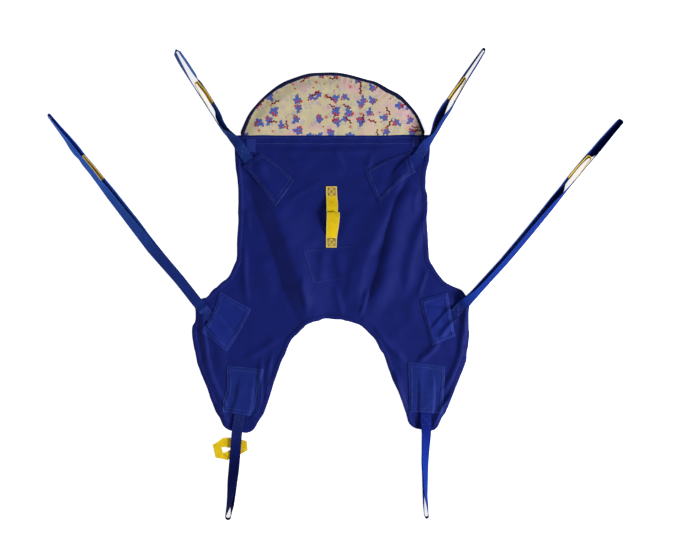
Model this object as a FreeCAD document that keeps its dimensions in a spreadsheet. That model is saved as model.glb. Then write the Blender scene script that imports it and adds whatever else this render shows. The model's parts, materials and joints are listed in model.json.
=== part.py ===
import FreeCAD, Part

# Divided-leg patient lifting sling, lying flat: a cloth panel with a head section, two leg
# flaps, six webbing strap loops, four inner loops, a crossing loop and a handle.
#
# The origin is on the centreline, on the underside of the back panel below the handle.
# X runs across the sling, Y towards the head and Z up from the surface that it lies on.

import math
import os

from FreeCAD import Placement, Rotation, Vector
from Sketcher import Constraint

SIZES = {
    # cloth and the gap between pieces that move apart
    "cloth_thickness": 2.5,
    "binding_width": 5.0,
    "seam_gap": 0.3,
    "head_seam_y": 292.0,
    "hem_height": 35.0,
    "leg_fold_y": -505.0,
    # corners of the right half of the cloth outline, and how far each is rounded
    "shoulder_x": 345.0,
    "waist_x": 336.0,
    "waist_y": 60.0,
    "waist_round": 900.0,
    "flare_x": 352.0,
    "flare_y": -155.0,
    "flare_round": 60.0,
    "notch_x": 404.0,
    "notch_y": -246.0,
    "notch_round": 70.0,
    "hip_x": 498.0,
    "hip_y": -284.0,
    "hip_round": 55.0,
    "thigh_x": 499.0,
    "thigh_y": -470.0,
    "thigh_round": 300.0,
    "leg_outer_x": 378.0,
    "leg_inner_x": 282.0,
    "leg_end_y": -773.0,
    "leg_end_round": 45.0,
    "crotch_low_x": 168.0,
    "crotch_low_y": -445.0,
    "crotch_low_round": 120.0,
    "crotch_high_x": 92.0,
    "crotch_high_y": -366.0,
    "crotch_high_round": 110.0,
    # head section
    "head_half_width": 326.0,
    "head_rise": 230.0,
    "head_backing_thickness": 1.2,
    "head_padding_thickness": 4.0,
    "head_lining_thickness": 0.8,
    "head_padding_margin": 4.0,
    "head_binding_width": 7.0,
    # webbing and the way that a strap is folded out of it
    "webbing_width": 38.0,
    "webbing_thickness": 1.8,
    "webbing_slit": 0.4,
    "flat_root": 15.0,
    "sag_start": 110.0,
    "sag_end": 160.0,
    "opening_taper": 40.0,
    # straps: place of the bend line, angle at which each lies, length, roll and opening
    "shoulder_root_x": 336.0,
    "shoulder_root_y": 266.0,
    "shoulder_length": 400.0,
    "shoulder_roll_start": 15.0,
    "shoulder_roll_end": 130.0,
    "shoulder_opening": 18.0,
    "shoulder_open_start": 125.0,
    "left_shoulder_angle": 123.0,
    "right_shoulder_angle": 57.9,
    "hip_root_x": 482.0,
    "hip_root_y": -306.0,
    "hip_length": 866.0,
    "hip_roll_start": 330.0,
    "hip_roll_end": 550.0,
    "hip_opening": 14.0,
    "hip_open_start": 500.0,
    "left_hip_angle": 128.7,
    "right_hip_angle": 49.7,
    "leg_root_x": 336.0,
    "leg_root_y": -770.0,
    "leg_length": 320.0,
    "leg_roll_start": 40.0,
    "leg_roll_end": 210.0,
    "leg_opening": 10.0,
    "leg_open_start": 215.0,
    "left_leg_angle": -96.7,
    "right_leg_angle": -90.0,
    # sewn-down strap ends
    "shoulder_anchor_length": 120.0,
    "hip_anchor_length": 115.0,
    "leg_anchor_length": 130.0,
    # patches sewn over the strap ends
    "patch_cover": 1.2,
    "tunnel_clearance": 0.2,
    "shoulder_patch_length": 176.0,
    "shoulder_patch_width": 112.0,
    "shoulder_patch_x": 229.0,
    "shoulder_patch_y": 141.0,
    "shoulder_patch_angle": 35.0,
    "hip_patch_length": 150.0,
    "hip_patch_width": 122.0,
    "hip_patch_x": 392.0,
    "hip_patch_y": -373.0,
    "hip_patch_angle": 112.0,
    "leg_patch_length": 170.0,
    "leg_patch_width": 122.0,
    "leg_patch_x": 332.0,
    "leg_patch_y": -620.0,
    "leg_patch_angle": 88.0,
    # small trim
    "tab_length": 34.0,
    "tab_width": 30.0,
    "tab_thickness": 1.8,
    "tab_x": 281.0,
    "tab_y": 264.0,
    "lumbar_gap": 5.0,
    "lumbar_height": 114.0,
    "lumbar_top_half_width": 94.0,
    "lumbar_bottom_half_width": 58.0,
    "lumbar_thickness": 0.8,
    # short loops sewn inside the shoulder and hip loops
    "inner_width": 32.0,
    "inner_length": 104.0,
    "inner_gap": 0.1,
    "shoulder_inner_start": 172.0,
    "hip_inner_start": 565.0,
    # loop on the left leg strap that the other leg strap is passed through
    "crossing_width": 126.0,
    "crossing_height": 82.0,
    "crossing_band": 24.0,
    "crossing_round": 12.0,
    "crossing_thickness": 2.4,
    "crossing_from_edge": 64.0,
    "crossing_offset": 24.0,
    # handle
    "handle_x": 2.0,
    "handle_half_length": 110.0,
    "handle_flat_end": 36.0,
    "handle_grip_half": 60.0,
    "handle_joint_height": 12.0,
    "handle_rise": 23.0,
    "handle_lean": 12.0,
}

OUTLINE_CORNERS = ("waist", "flare", "notch", "hip", "thigh")
STRAP_KINDS = ("shoulder", "hip", "leg")
SIDES = {"left": -1, "right": 1}
BEND_STEPS = 8
ROLL_STEPS = 6
ROUGH_SIZE = 10.0

doc = FreeCAD.newDocument("lifting_sling")
sheet = doc.addObject("Spreadsheet::Sheet", "Sizes")
for row, (alias, value) in enumerate(SIZES.items(), 1):
    sheet.set(f"A{row}", alias)
    sheet.set(f"B{row}", str(value))
    sheet.setAlias(f"B{row}", alias)
doc.recompute()

sub_parts = []


def size(alias):
    """One driving dimension, read from the sheet."""
    return float(sheet.get(alias))


def place(x, y, z, angle=0.0):
    """A placement on the cloth: a point and a turn about the vertical."""
    return Placement(Vector(x, y, z), Rotation(Vector(0, 0, 1), angle))


def finish(piece, name):
    """Give a finished sub-part its name and list it for export."""
    piece.Label = name
    sub_parts.append(piece)
    return piece


def origin_plane(body, role):
    """One of the body's own origin planes."""
    return next(f for f in body.Origin.OriginFeatures if f.Role == role)


def new_body(name, role="XY_Plane"):
    """A PartDesign body with one empty sketch on an origin plane."""
    body = doc.addObject("PartDesign::Body", name + "_body")
    sketch = body.newObject("Sketcher::SketchObject", name + "_sketch")
    sketch.AttachmentSupport = [(origin_plane(body, role), "")]
    sketch.MapMode = "FlatFace"
    return body, sketch


def pad(body, sketch, length, middle=False):
    """Pad the sketch by a length that is an expression on the sheet."""
    feature = body.newObject("PartDesign::Pad", sketch.Name + "_pad")
    feature.Profile = sketch
    feature.setExpression("Length", length)
    feature.Midplane = middle
    sketch.Visibility = False
    return feature


def bound_rectangle(sketch, length, width, start):
    """A rectangle that starts at x = start and lies evenly about the sketch's X axis.

    It is drawn at a rough size, and its constraints then set the real one.
    """
    side = ROUGH_SIZE / 2
    corners = [Vector(0, -side), Vector(ROUGH_SIZE, -side), Vector(ROUGH_SIZE, side), Vector(0, side)]
    for first, last in zip(corners, corners[1:] + corners[:1]):
        sketch.addGeometry(Part.LineSegment(first, last))
    for line in range(4):
        sketch.addConstraint(Constraint("Coincident", line, 2, (line + 1) % 4, 1))
    sketch.addConstraint(Constraint("Horizontal", 0))
    sketch.addConstraint(Constraint("Horizontal", 2))
    sketch.addConstraint(Constraint("Vertical", 1))
    sketch.addConstraint(Constraint("Symmetric", 0, 1, 2, 2, -1))
    bound = {
        "start": (Constraint("DistanceX", -1, 1, 0, 1, 1.0), start),
        "length": (Constraint("DistanceX", 0, 1, 0, 2, ROUGH_SIZE), length),
        "width": (Constraint("DistanceY", 1, 1, 1, 2, ROUGH_SIZE), width),
    }
    for label, (constraint, expression) in bound.items():
        index = sketch.addConstraint(constraint)
        sketch.renameConstraint(index, label)
        sketch.setExpression(f"Constraints.{label}", expression)


def strip(name, length, width, thickness, start, placement):
    """A flat strip of webbing or cloth as a padded rectangle."""
    body, sketch = new_body(name)
    bound_rectangle(sketch, length, width, start)
    pad(body, sketch, thickness)
    body.Placement = placement
    return finish(body, name)


def draw_wire(sketch, wire):
    """Copy the straight and round edges of a closed wire into the sketch."""
    for edge in wire.OrderedEdges:
        if isinstance(edge.Curve, Part.Circle):
            sketch.addGeometry(Part.ArcOfCircle(edge.Curve, edge.FirstParameter, edge.LastParameter))
        else:
            sketch.addGeometry(Part.LineSegment(edge.firstVertex().Point, edge.lastVertex().Point))


def cloth(name, face, thickness, placement=Placement()):
    """A flat piece cut to the outline of a face and padded to its thickness."""
    body, sketch = new_body(name)
    draw_wire(sketch, face.Faces[0].OuterWire)
    pad(body, sketch, thickness)
    body.Placement = placement
    return finish(body, name)


def polygon_face(points):
    """A flat face with straight edges."""
    ring = points + points[:1]
    return Part.Face(Part.makePolygon([Vector(x, y, 0) for x, y in ring]))


def zone(x0, x1, y0, y1):
    """A rectangular zone of the cloth, given by its limits."""
    return polygon_face([(x0, y0), (x1, y0), (x1, y1), (x0, y1)])


def rounded_face(corners):
    """A closed face through (x, y, radius) corners, each rounded by an arc of that radius."""
    edges = []
    ends = []
    for (x0, y0, _), (x, y, radius), (x1, y1, _) in zip(
        corners[-1:] + corners[:-1], corners, corners[1:] + corners[:1]
    ):
        corner = Vector(x, y, 0)
        back = (Vector(x0, y0, 0) - corner).normalize()
        ahead = (Vector(x1, y1, 0) - corner).normalize()
        if radius == 0:
            ends.append((corner, None, corner))
            continue
        half = back.getAngle(ahead) / 2
        reach = radius / math.tan(half)
        inward = (back + ahead).normalize()
        middle = corner + inward * (radius / math.sin(half) - radius)
        ends.append((corner + back * reach, middle, corner + ahead * reach))
    for (start, middle, end), (following, _, _) in zip(ends, ends[1:] + ends[:1]):
        if middle is not None:
            edges.append(Part.Arc(start, middle, end).toShape())
        edges.append(Part.LineSegment(end, following).toShape())
    return Part.Face(Part.Wire(edges))


# --- outline of the cloth: one symmetrical pattern from the head seam to the leg ends ---


def cloth_pattern():
    """The whole cloth outline, bindings included."""
    right = [(size("shoulder_x"), size("head_seam_y"), 0)]
    right += [(size(f"{c}_x"), size(f"{c}_y"), size(f"{c}_round")) for c in OUTLINE_CORNERS]
    right += [
        (size("leg_outer_x"), size("leg_end_y"), size("leg_end_round")),
        (size("leg_inner_x"), size("leg_end_y"), size("leg_end_round")),
    ]
    for corner in ("crotch_low", "crotch_high"):
        right.append((size(f"{corner}_x"), size(f"{corner}_y"), size(f"{corner}_round")))
    left = [(-x, y, radius) for x, y, radius in reversed(right)]
    return rounded_face(right + left)


pattern = cloth_pattern()
panel = Part.Face(pattern.OuterWire.makeOffset2D(-size("binding_width")))
edging = pattern.cut(panel)

# lines that the pattern is cut along; reach and below lie well outside it, and between
# runs from the crotch to the waist between the inner and the outer edge
half_gap = size("seam_gap") / 2
reach = 2 * size("hip_x")
top = size("head_seam_y") - half_gap
hem_line = top - size("hem_height")
fold = size("leg_fold_y")
below = 2 * size("leg_end_y")
between = (size("crotch_low_x") + size("waist_x")) / 2

cloth("back_panel", panel.common(zone(-reach, reach, fold + half_gap, hem_line)), "Sizes.cloth_thickness")
cloth("top_hem", pattern.common(zone(-reach, reach, hem_line, top)), "Sizes.cloth_thickness")
crotch = zone(-between, between, fold + half_gap, size("crotch_high_y") + 2 * size("binding_width"))
cloth("crotch_binding", edging.common(crotch), "Sizes.cloth_thickness")
for side, sign in SIDES.items():
    outer = zone(*sorted((sign * between, sign * reach)), fold + half_gap, hem_line)
    cloth(f"{side}_side_binding", edging.common(outer), "Sizes.cloth_thickness")
    leg = zone(*sorted((0, sign * reach)), below, fold - half_gap)
    cloth(f"{side}_leg_flap", panel.common(leg), "Sizes.cloth_thickness")
    cloth(f"{side}_leg_binding", edging.common(leg), "Sizes.cloth_thickness")


# --- head section: backing, foam and lining inside a bound edge, hinged on the head seam ---


def head_face(margin, foot):
    """The arched head outline, drawn in from its edge by margin and up from the seam by foot."""
    half, rise = size("head_half_width"), size("head_rise")
    radius = (half**2 + rise**2) / (2 * rise)
    centre = rise - radius
    inner = radius - margin
    side = math.sqrt(inner**2 - (foot - centre) ** 2)
    arc = Part.Arc(Vector(side, foot, 0), Vector(0, rise - margin, 0), Vector(-side, foot, 0))
    base = Part.LineSegment(Vector(-side, foot, 0), Vector(side, foot, 0))
    return Part.Face(Part.Wire([arc.toShape(), base.toShape()]))


head_seam = size("head_seam_y") + half_gap
bound_edge = size("head_binding_width")
padding_z = size("head_backing_thickness")
lining_z = padding_z + size("head_padding_thickness")
head_stack = "Sizes.head_backing_thickness + Sizes.head_padding_thickness + Sizes.head_lining_thickness"

cloth("head_backing", head_face(bound_edge, 0), "Sizes.head_backing_thickness", place(0, head_seam, 0))
cloth(
    "head_padding",
    head_face(bound_edge + size("head_padding_margin"), size("head_padding_margin")),
    "Sizes.head_padding_thickness",
    place(0, head_seam, padding_z),
)
cloth("head_lining", head_face(bound_edge, 0), "Sizes.head_lining_thickness", place(0, head_seam, lining_z))
cloth("head_binding", head_face(0, 0).cut(head_face(bound_edge, 0)), head_stack, place(0, head_seam, 0))


# --- straps: one webbing folded double, flat at its sewn root and on edge at its tip ---


def root_place(side, kind, z):
    """Where a strap bends at the edge of the cloth, with X pointing along the strap."""
    x = SIDES[side] * size(f"{kind}_root_x")
    return place(x, size(f"{kind}_root_y"), z, size(f"{side}_{kind}_angle"))


def ease(value):
    """A smooth step from 0 to 1."""
    value = min(max(value, 0.0), 1.0)
    return value * value * (3 - 2 * value)


def section(centre, across, normal):
    """The webbing's rectangular section about a centre, as a closed wire."""
    side = across * (size("webbing_width") / 2)
    face = normal * (size("webbing_thickness") / 2)
    corners = [centre - side - face, centre + side - face, centre + side + face, centre - side + face]
    return Part.makePolygon(corners + corners[:1])


def strap_stations(kind):
    """Distances along a strap at which its section is set."""
    roll_start, roll_end = size(f"{kind}_roll_start"), size(f"{kind}_roll_end")
    open_start = size(f"{kind}_open_start")
    bend = size(f"{kind}_length") - size(f"{kind}_opening") / 2 - size("webbing_thickness")
    rolls = [roll_start + (roll_end - roll_start) * n / ROLL_STEPS for n in range(ROLL_STEPS + 1)]
    opens = [open_start + size("opening_taper") * n / 2 for n in range(3)]
    marks = [half_gap, size("flat_root"), *rolls, *opens, size("sag_start"), size("sag_end"), bend]
    return sorted({mark for mark in marks if mark <= bend})


def strap_shape(kind):
    """The folded strap along X: out on one run, round the tip and back on the other."""
    thickness = size("webbing_thickness")
    lift = size("cloth_thickness") + size("seam_gap")
    slit, opening = size("webbing_slit"), size(f"{kind}_opening")
    roll_start, roll_end = size(f"{kind}_roll_start"), size(f"{kind}_roll_end")
    sag_start, sag_end = size("sag_start"), size("sag_end")
    out_run, back_run = [], []
    for along in strap_stations(kind):
        roll = math.pi / 2 * ease((along - roll_start) / (roll_end - roll_start))
        taper = ease((along - size(f"{kind}_open_start")) / size("opening_taper"))
        gap = slit + (opening - slit) * taper
        raised = lift * (1 - ease((along - sag_start) / (sag_end - sag_start)))
        across = Vector(0, math.cos(roll), math.sin(roll))
        normal = Vector(0, -math.sin(roll), math.cos(roll))
        half_height = size("webbing_width") / 2 * math.sin(roll) + (gap / 2 + thickness) * math.cos(roll)
        centre = Vector(along, 0, raised + half_height)
        offset = normal * (gap / 2 + thickness / 2)
        out_run.append(section(centre + offset, across, normal))
        back_run.append(section(centre - offset, across, normal))
    bend_radius = (opening + thickness) / 2
    tip = []
    for n in range(1, BEND_STEPS):
        turn = math.pi / 2 - math.pi * n / BEND_STEPS
        radial = Vector(math.cos(turn), -math.sin(turn), 0)
        tip.append(section(centre + radial * bend_radius, Vector(0, 0, 1), radial))
    loop = Part.makeLoft(out_run + tip + back_run[::-1], True, True)
    root = Part.makeBox(
        size("flat_root") - half_gap,
        size("webbing_width"),
        2 * thickness + slit,
        Vector(half_gap, -size("webbing_width") / 2, lift),
    )
    return loop.fuse(root).removeSplitter()


def add_strap(side, kind, shape):
    """One strap as a fixed shape, placed at its root."""
    strap = doc.addObject("Part::Feature", f"{side}_{kind}_strap_shape")
    strap.Shape = shape.copy()
    strap.Placement = root_place(side, kind, 0)
    return finish(strap, f"{side}_{kind}_strap")


for kind in STRAP_KINDS:
    folded = strap_shape(kind)
    for side in SIDES:
        add_strap(side, kind, folded)

# --- anchors: the sewn-down end of each strap, its two runs on top of each other ---

ANCHOR_THICKNESS = "2 * Sizes.webbing_thickness + Sizes.webbing_slit"
for side in SIDES:
    for kind in STRAP_KINDS:
        strip(
            f"{side}_{kind}_anchor",
            f"Sizes.{kind}_anchor_length",
            "Sizes.webbing_width",
            ANCHOR_THICKNESS,
            f"-Sizes.{kind}_anchor_length - Sizes.seam_gap / 2",
            root_place(side, kind, size("cloth_thickness")),
        )


# --- patches: cloth sewn over each strap end, with a tunnel that the anchor lies in ---


def add_box(name, length, width, height, placement):
    """A Part box with its sizes bound to the sheet."""
    box = doc.addObject("Part::Box", name)
    box.setExpression("Length", length)
    box.setExpression("Width", width)
    box.setExpression("Height", height)
    box.Placement = placement
    return box


def patch(side, kind):
    """A patch plate less the tunnel for the strap end."""
    name = f"{side}_{kind}_patch"
    sign = SIDES[side]
    angle = size(f"{kind}_patch_angle")
    length, width = size(f"{kind}_patch_length"), size(f"{kind}_patch_width")
    turned = angle if side == "right" else 180 - angle
    centre = place(sign * size(f"{kind}_patch_x"), size(f"{kind}_patch_y"), size("cloth_thickness"), turned)
    plate = add_box(
        name + "_plate",
        f"Sizes.{kind}_patch_length",
        f"Sizes.{kind}_patch_width",
        f"{ANCHOR_THICKNESS} + Sizes.tunnel_clearance + Sizes.patch_cover",
        centre * place(-length / 2, -width / 2, 0),
    )
    clearance = size("tunnel_clearance")
    wide = size("webbing_width") / 2 + clearance
    inward = size(f"{kind}_anchor_length") + size("seam_gap") / 2 + clearance
    tunnel = add_box(
        name + "_tunnel",
        f"Sizes.{kind}_anchor_length + Sizes.seam_gap / 2 + Sizes.tunnel_clearance",
        "Sizes.webbing_width + 2 * Sizes.tunnel_clearance",
        f"{ANCHOR_THICKNESS} + Sizes.tunnel_clearance",
        root_place(side, kind, size("cloth_thickness")) * place(-inward, -wide, 0),
    )
    cut = doc.addObject("Part::Cut", name + "_cut")
    cut.Base = plate
    cut.Tool = tunnel
    return finish(cut, name)


for side in SIDES:
    for kind in STRAP_KINDS:
        patch(side, kind)

# --- small trim on the cloth: corner tabs and the lumbar patch ---

for side, sign in SIDES.items():
    strip(
        f"{side}_corner_tab",
        "Sizes.tab_width",
        "Sizes.tab_length",
        "Sizes.tab_thickness",
        "-Sizes.tab_width / 2",
        place(sign * size("tab_x"), size("tab_y"), size("cloth_thickness")),
    )

lumbar_top = -size("handle_half_length") - size("lumbar_gap")
lumbar_bottom = lumbar_top - size("lumbar_height")
wide_end, narrow_end = size("lumbar_top_half_width"), size("lumbar_bottom_half_width")
lumbar = polygon_face(
    [
        (-wide_end, lumbar_top),
        (-narrow_end, lumbar_bottom),
        (narrow_end, lumbar_bottom),
        (wide_end, lumbar_top),
    ]
)
cloth("lumbar_patch", lumbar, "Sizes.lumbar_thickness", place(0, 0, size("cloth_thickness")))


# --- inner loops: short webbing loops sewn to both runs inside the strap opening ---


def inner_loop(side, kind):
    """A U of webbing on edge, its runs against the strap's and its bend towards the tip."""
    name = f"{side}_{kind}_inner_loop"
    body, sketch = new_body(name)
    outer = size(f"{kind}_opening") / 2 - size("inner_gap")
    inner = outer - size("webbing_thickness")
    straight = size("inner_length") - outer
    for radius in (outer, inner):
        tip = Vector(straight + radius, 0, 0)
        sketch.addGeometry(Part.Arc(Vector(straight, -radius, 0), tip, Vector(straight, radius, 0)))
        for edge in (-radius, radius):
            sketch.addGeometry(Part.LineSegment(Vector(0, edge, 0), Vector(straight, edge, 0)))
    for sign in (-1, 1):
        sketch.addGeometry(Part.LineSegment(Vector(0, sign * inner, 0), Vector(0, sign * outer, 0)))
    pad(body, sketch, "Sizes.inner_width")
    start = size(f"{kind}_inner_start")
    low = (size("webbing_width") - size("inner_width")) / 2
    body.Placement = root_place(side, kind, 0) * place(start, 0, low)
    return finish(body, name)


for side in SIDES:
    for kind in ("shoulder", "hip"):
        inner_loop(side, kind)

# --- crossing loop: a flat ring of webbing sewn beneath the left leg strap ---

ring_half_width, ring_half_height = size("crossing_width") / 2, size("crossing_height") / 2
band, ring_round = size("crossing_band"), size("crossing_round")
ring = rounded_face(
    [
        (ring_half_width, ring_half_height, ring_round),
        (-ring_half_width, ring_half_height, ring_round),
        (-ring_half_width, -ring_half_height, ring_round),
        (ring_half_width, -ring_half_height, ring_round),
    ]
)
ring_body = cloth(
    "crossing_loop",
    ring,
    "Sizes.crossing_thickness",
    root_place("left", "leg", 0) * place(size("crossing_from_edge"), -size("crossing_offset"), 0, 90),
)
hole_sketch = ring_body.newObject("Sketcher::SketchObject", "crossing_loop_hole")
hole_sketch.AttachmentSupport = [(origin_plane(ring_body, "XY_Plane"), "")]
hole_sketch.MapMode = "FlatFace"
bound_rectangle(
    hole_sketch,
    "Sizes.crossing_width / 2 - Sizes.crossing_band",
    "Sizes.crossing_height - 2 * Sizes.crossing_band",
    "Sizes.crossing_band - Sizes.crossing_width / 2",
)
hole = ring_body.newObject("PartDesign::Pocket", "crossing_loop_pocket")
hole.Profile = hole_sketch
hole.Type = "ThroughAll"
hole.Reversed = True


# --- handle: a bow of webbing sewn down at both ends, its grip free to tilt sideways ---


grip_half, rise = size("handle_grip_half"), size("handle_rise")
strap_thick = size("webbing_thickness")
bow_height = rise - size("handle_joint_height")
bow_radius = (grip_half**2 + bow_height**2) / (2 * bow_height)


def bow_height_at(radius, y):
    """Height of the handle's arched grip above the cloth, at a distance y from its middle."""
    return rise - bow_radius + math.sqrt(radius**2 - y**2)


def close_profile(sketch, points):
    """Straight edges through (y, z) points and back to the first."""
    ring = [Vector(y, z, 0) for y, z in points]
    for first, last in zip(ring, ring[1:] + ring[:1]):
        sketch.addGeometry(Part.LineSegment(first, last))


for end, sign in {"upper": 1, "lower": -1}.items():
    body, sketch = new_body(f"handle_{end}_end", "YZ_Plane")
    joint = grip_half + size("seam_gap")
    flat_end = size("handle_half_length") - size("handle_flat_end")
    path = [
        (size("handle_half_length"), 0),
        (flat_end, 0),
        (joint, bow_height_at(bow_radius, grip_half)),
    ]
    under = [(sign * y, z) for y, z in path]
    over = [(y, z + strap_thick) for y, z in reversed(under)]
    close_profile(sketch, under + over)
    pad(body, sketch, "Sizes.webbing_width", middle=True)
    body.Placement = place(size("handle_x"), 0, size("cloth_thickness"))
    finish(body, f"handle_{end}_end")

body, sketch = new_body("handle_grip", "YZ_Plane")
for radius in (bow_radius, bow_radius + strap_thick):
    foot = bow_height_at(radius, grip_half)
    crest = Vector(0, bow_height_at(radius, 0), 0)
    sketch.addGeometry(Part.Arc(Vector(-grip_half, foot, 0), crest, Vector(grip_half, foot, 0)))
for y in (-grip_half, grip_half):
    under, over = (Vector(y, bow_height_at(r, y), 0) for r in (bow_radius, bow_radius + strap_thick))
    sketch.addGeometry(Part.LineSegment(under, over))
pad(body, sketch, "Sizes.webbing_width", middle=True)
lean = Rotation(Vector(0, 1, 0), size("handle_lean"))
body.Placement = Placement(Vector(size("handle_x"), 0, size("cloth_thickness")), lean)
finish(body, "handle_grip")

# --- check every object, then write one file for each sub-part ---

doc.recompute()
for item in doc.Objects:
    if "Invalid" in item.State or "Error" in item.State:
        raise RuntimeError(f"{item.Label}: {item.State}")
for piece in sub_parts:
    if piece.Shape.isNull() or not piece.Shape.isValid():
        raise RuntimeError(f"{piece.Label}: the shape is null or not valid")

os.makedirs("parts", exist_ok=True)
for piece in sub_parts:
    piece.Shape.exportStep(f"parts/{piece.Label}.step")
    print(f"{piece.Label}: {len(piece.Shape.Solids)} solid, {piece.Shape.Volume / 1000:.1f} cm3")
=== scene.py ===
import json
import math

import bpy
import numpy as np
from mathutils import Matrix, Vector, noise


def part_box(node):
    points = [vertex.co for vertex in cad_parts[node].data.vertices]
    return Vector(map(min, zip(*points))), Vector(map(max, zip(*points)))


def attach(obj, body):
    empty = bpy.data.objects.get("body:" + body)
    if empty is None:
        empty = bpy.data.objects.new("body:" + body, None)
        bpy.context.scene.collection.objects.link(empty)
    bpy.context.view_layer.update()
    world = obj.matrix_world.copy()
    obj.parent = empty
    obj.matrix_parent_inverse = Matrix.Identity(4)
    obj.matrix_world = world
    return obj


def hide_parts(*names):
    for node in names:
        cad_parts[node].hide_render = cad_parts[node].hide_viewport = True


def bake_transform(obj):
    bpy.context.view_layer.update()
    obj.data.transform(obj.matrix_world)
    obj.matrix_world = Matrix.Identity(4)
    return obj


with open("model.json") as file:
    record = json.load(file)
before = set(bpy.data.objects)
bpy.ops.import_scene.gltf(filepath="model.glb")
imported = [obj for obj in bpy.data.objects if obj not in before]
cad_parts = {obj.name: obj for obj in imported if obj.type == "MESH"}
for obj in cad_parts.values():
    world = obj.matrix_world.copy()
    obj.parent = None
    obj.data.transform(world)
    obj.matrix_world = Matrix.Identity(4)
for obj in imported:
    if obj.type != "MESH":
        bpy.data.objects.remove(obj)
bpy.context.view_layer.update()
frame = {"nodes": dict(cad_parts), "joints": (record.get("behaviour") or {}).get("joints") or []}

# --- studio ---
# The sling lies on a white floor and is seen from straight above. Two soft lamps stand low on
# either side, nearer its foot, and an even sky fills the shadows.

MM = 0.001
FLOOR_WHITE = 0.82
FLOOR_LEVEL = -0.4 * MM
SKY_LEVEL = 0.22
LAMPS = {"lamp_right": ((5.6, -2.0, 2.75), 655), "lamp_left": ((-5.6, -2.0, 2.75), 119)}
LAMP_SIZE = 2.0
LAMP_AIM = Vector((0, -0.15, 0))
CAMERA_PLACE = (0.0252, -0.1782, 5.0)
SENSOR = 36
SEEN_WIDTH = 2.4336


class Finish:
    """The nodes of a material, or of the sky. An input is a value, or the output it is linked to."""

    def __init__(self, name, sky=False):
        self.owner = bpy.data.worlds.new(name) if sky else bpy.data.materials.new(name)
        self.owner.use_nodes = True
        self.tree = self.owner.node_tree
        self.tree.nodes.clear()
        output = self.tree.nodes.new("ShaderNodeOutputWorld" if sky else "ShaderNodeOutputMaterial")
        self.surface = output.inputs["Surface"]

    def node(self, kind, inputs=None, **settings):
        """The outputs of a new node."""
        node = self.tree.nodes.new(f"ShaderNode{kind}")
        for setting, value in settings.items():
            setattr(node, setting, value)
        for socket, value in (inputs or {}).items():
            if isinstance(value, bpy.types.NodeSocket):
                self.tree.links.new(value, node.inputs[socket])
            else:
                node.inputs[socket].default_value = value
        return node.outputs

    def calc(self, operation, *values, clamp=False):
        """A Math node's result."""
        return self.node("Math", dict(enumerate(values)), operation=operation, use_clamp=clamp)[0]

    def show(self, shader):
        """Put a shader on the surface, and give what it belongs to."""
        self.tree.links.new(shader, self.surface)
        return self.owner


bpy.ops.mesh.primitive_plane_add(size=30, location=(0, 0, FLOOR_LEVEL))
floor = bpy.context.object
floor.name = "studio_floor"
white = Finish("studio_floor")
rays = white.node("LightPath")
seen = white.calc("MAXIMUM", rays["Is Camera Ray"], rays["Is Glossy Ray"])
seen = white.calc("MAXIMUM", seen, rays["Is Transmission Ray"])
paint = white.node("BsdfDiffuse", {"Color": (FLOOR_WHITE, FLOOR_WHITE, FLOOR_WHITE, 1)})[0]
strength = white.calc("MULTIPLY", seen, FLOOR_WHITE)
glow = white.node("Emission", {"Color": (1, 1, 1, 1), "Strength": strength})[0]
floor.data.materials.append(white.show(white.node("AddShader", {0: paint, 1: glow})[0]))

for name, (place, watts) in LAMPS.items():
    bpy.ops.object.light_add(type="AREA", location=place)
    lamp = bpy.context.object
    lamp.name = name
    lamp.data.size = LAMP_SIZE
    lamp.data.energy = watts
    lamp.rotation_euler = (LAMP_AIM - Vector(place)).to_track_quat("-Z", "Y").to_euler()

sky = Finish("studio", sky=True)
seen = sky.node("LightPath")["Is Camera Ray"]
strength = sky.calc("MULTIPLY_ADD", seen, 1 - SKY_LEVEL, SKY_LEVEL)
light = sky.node("Background", {"Color": (1, 1, 1, 1), "Strength": strength})[0]
bpy.context.scene.world = sky.show(light)

bpy.ops.object.camera_add(location=CAMERA_PLACE, rotation=(0, 0, 0))
camera = bpy.context.object
camera.data.sensor_width = SENSOR
camera.data.lens = SENSOR * CAMERA_PLACE[2] / SEEN_WIDTH
camera.data.dof.use_dof = False
bpy.context.scene.camera = camera
bpy.context.scene.view_settings.view_transform = "Standard"

# --- cloth panel: back and leg flaps ---
# One layer of navy woven polyester, cut as a back with two leg flaps. It lies on the floor where
# it was spread by hand, so it keeps soft folds, and its two sides differ by some millimetres.

NAVY = (0.0040, 0.0104, 0.134)
CLOTH_GAP = 0.3 * MM
CLOTH_THICKNESS = 1.7 * MM
CLOTH_TOP = CLOTH_GAP + CLOTH_THICKNESS
CLOTH_CELL = 5 * MM
WEAVE_PITCH = 1.1 * MM
DOT_PITCH = 7.8 * MM
FLAP_LINE = -0.470
HEM_OVERLAP = 6 * MM
LEG_BEND = 18 * MM

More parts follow.
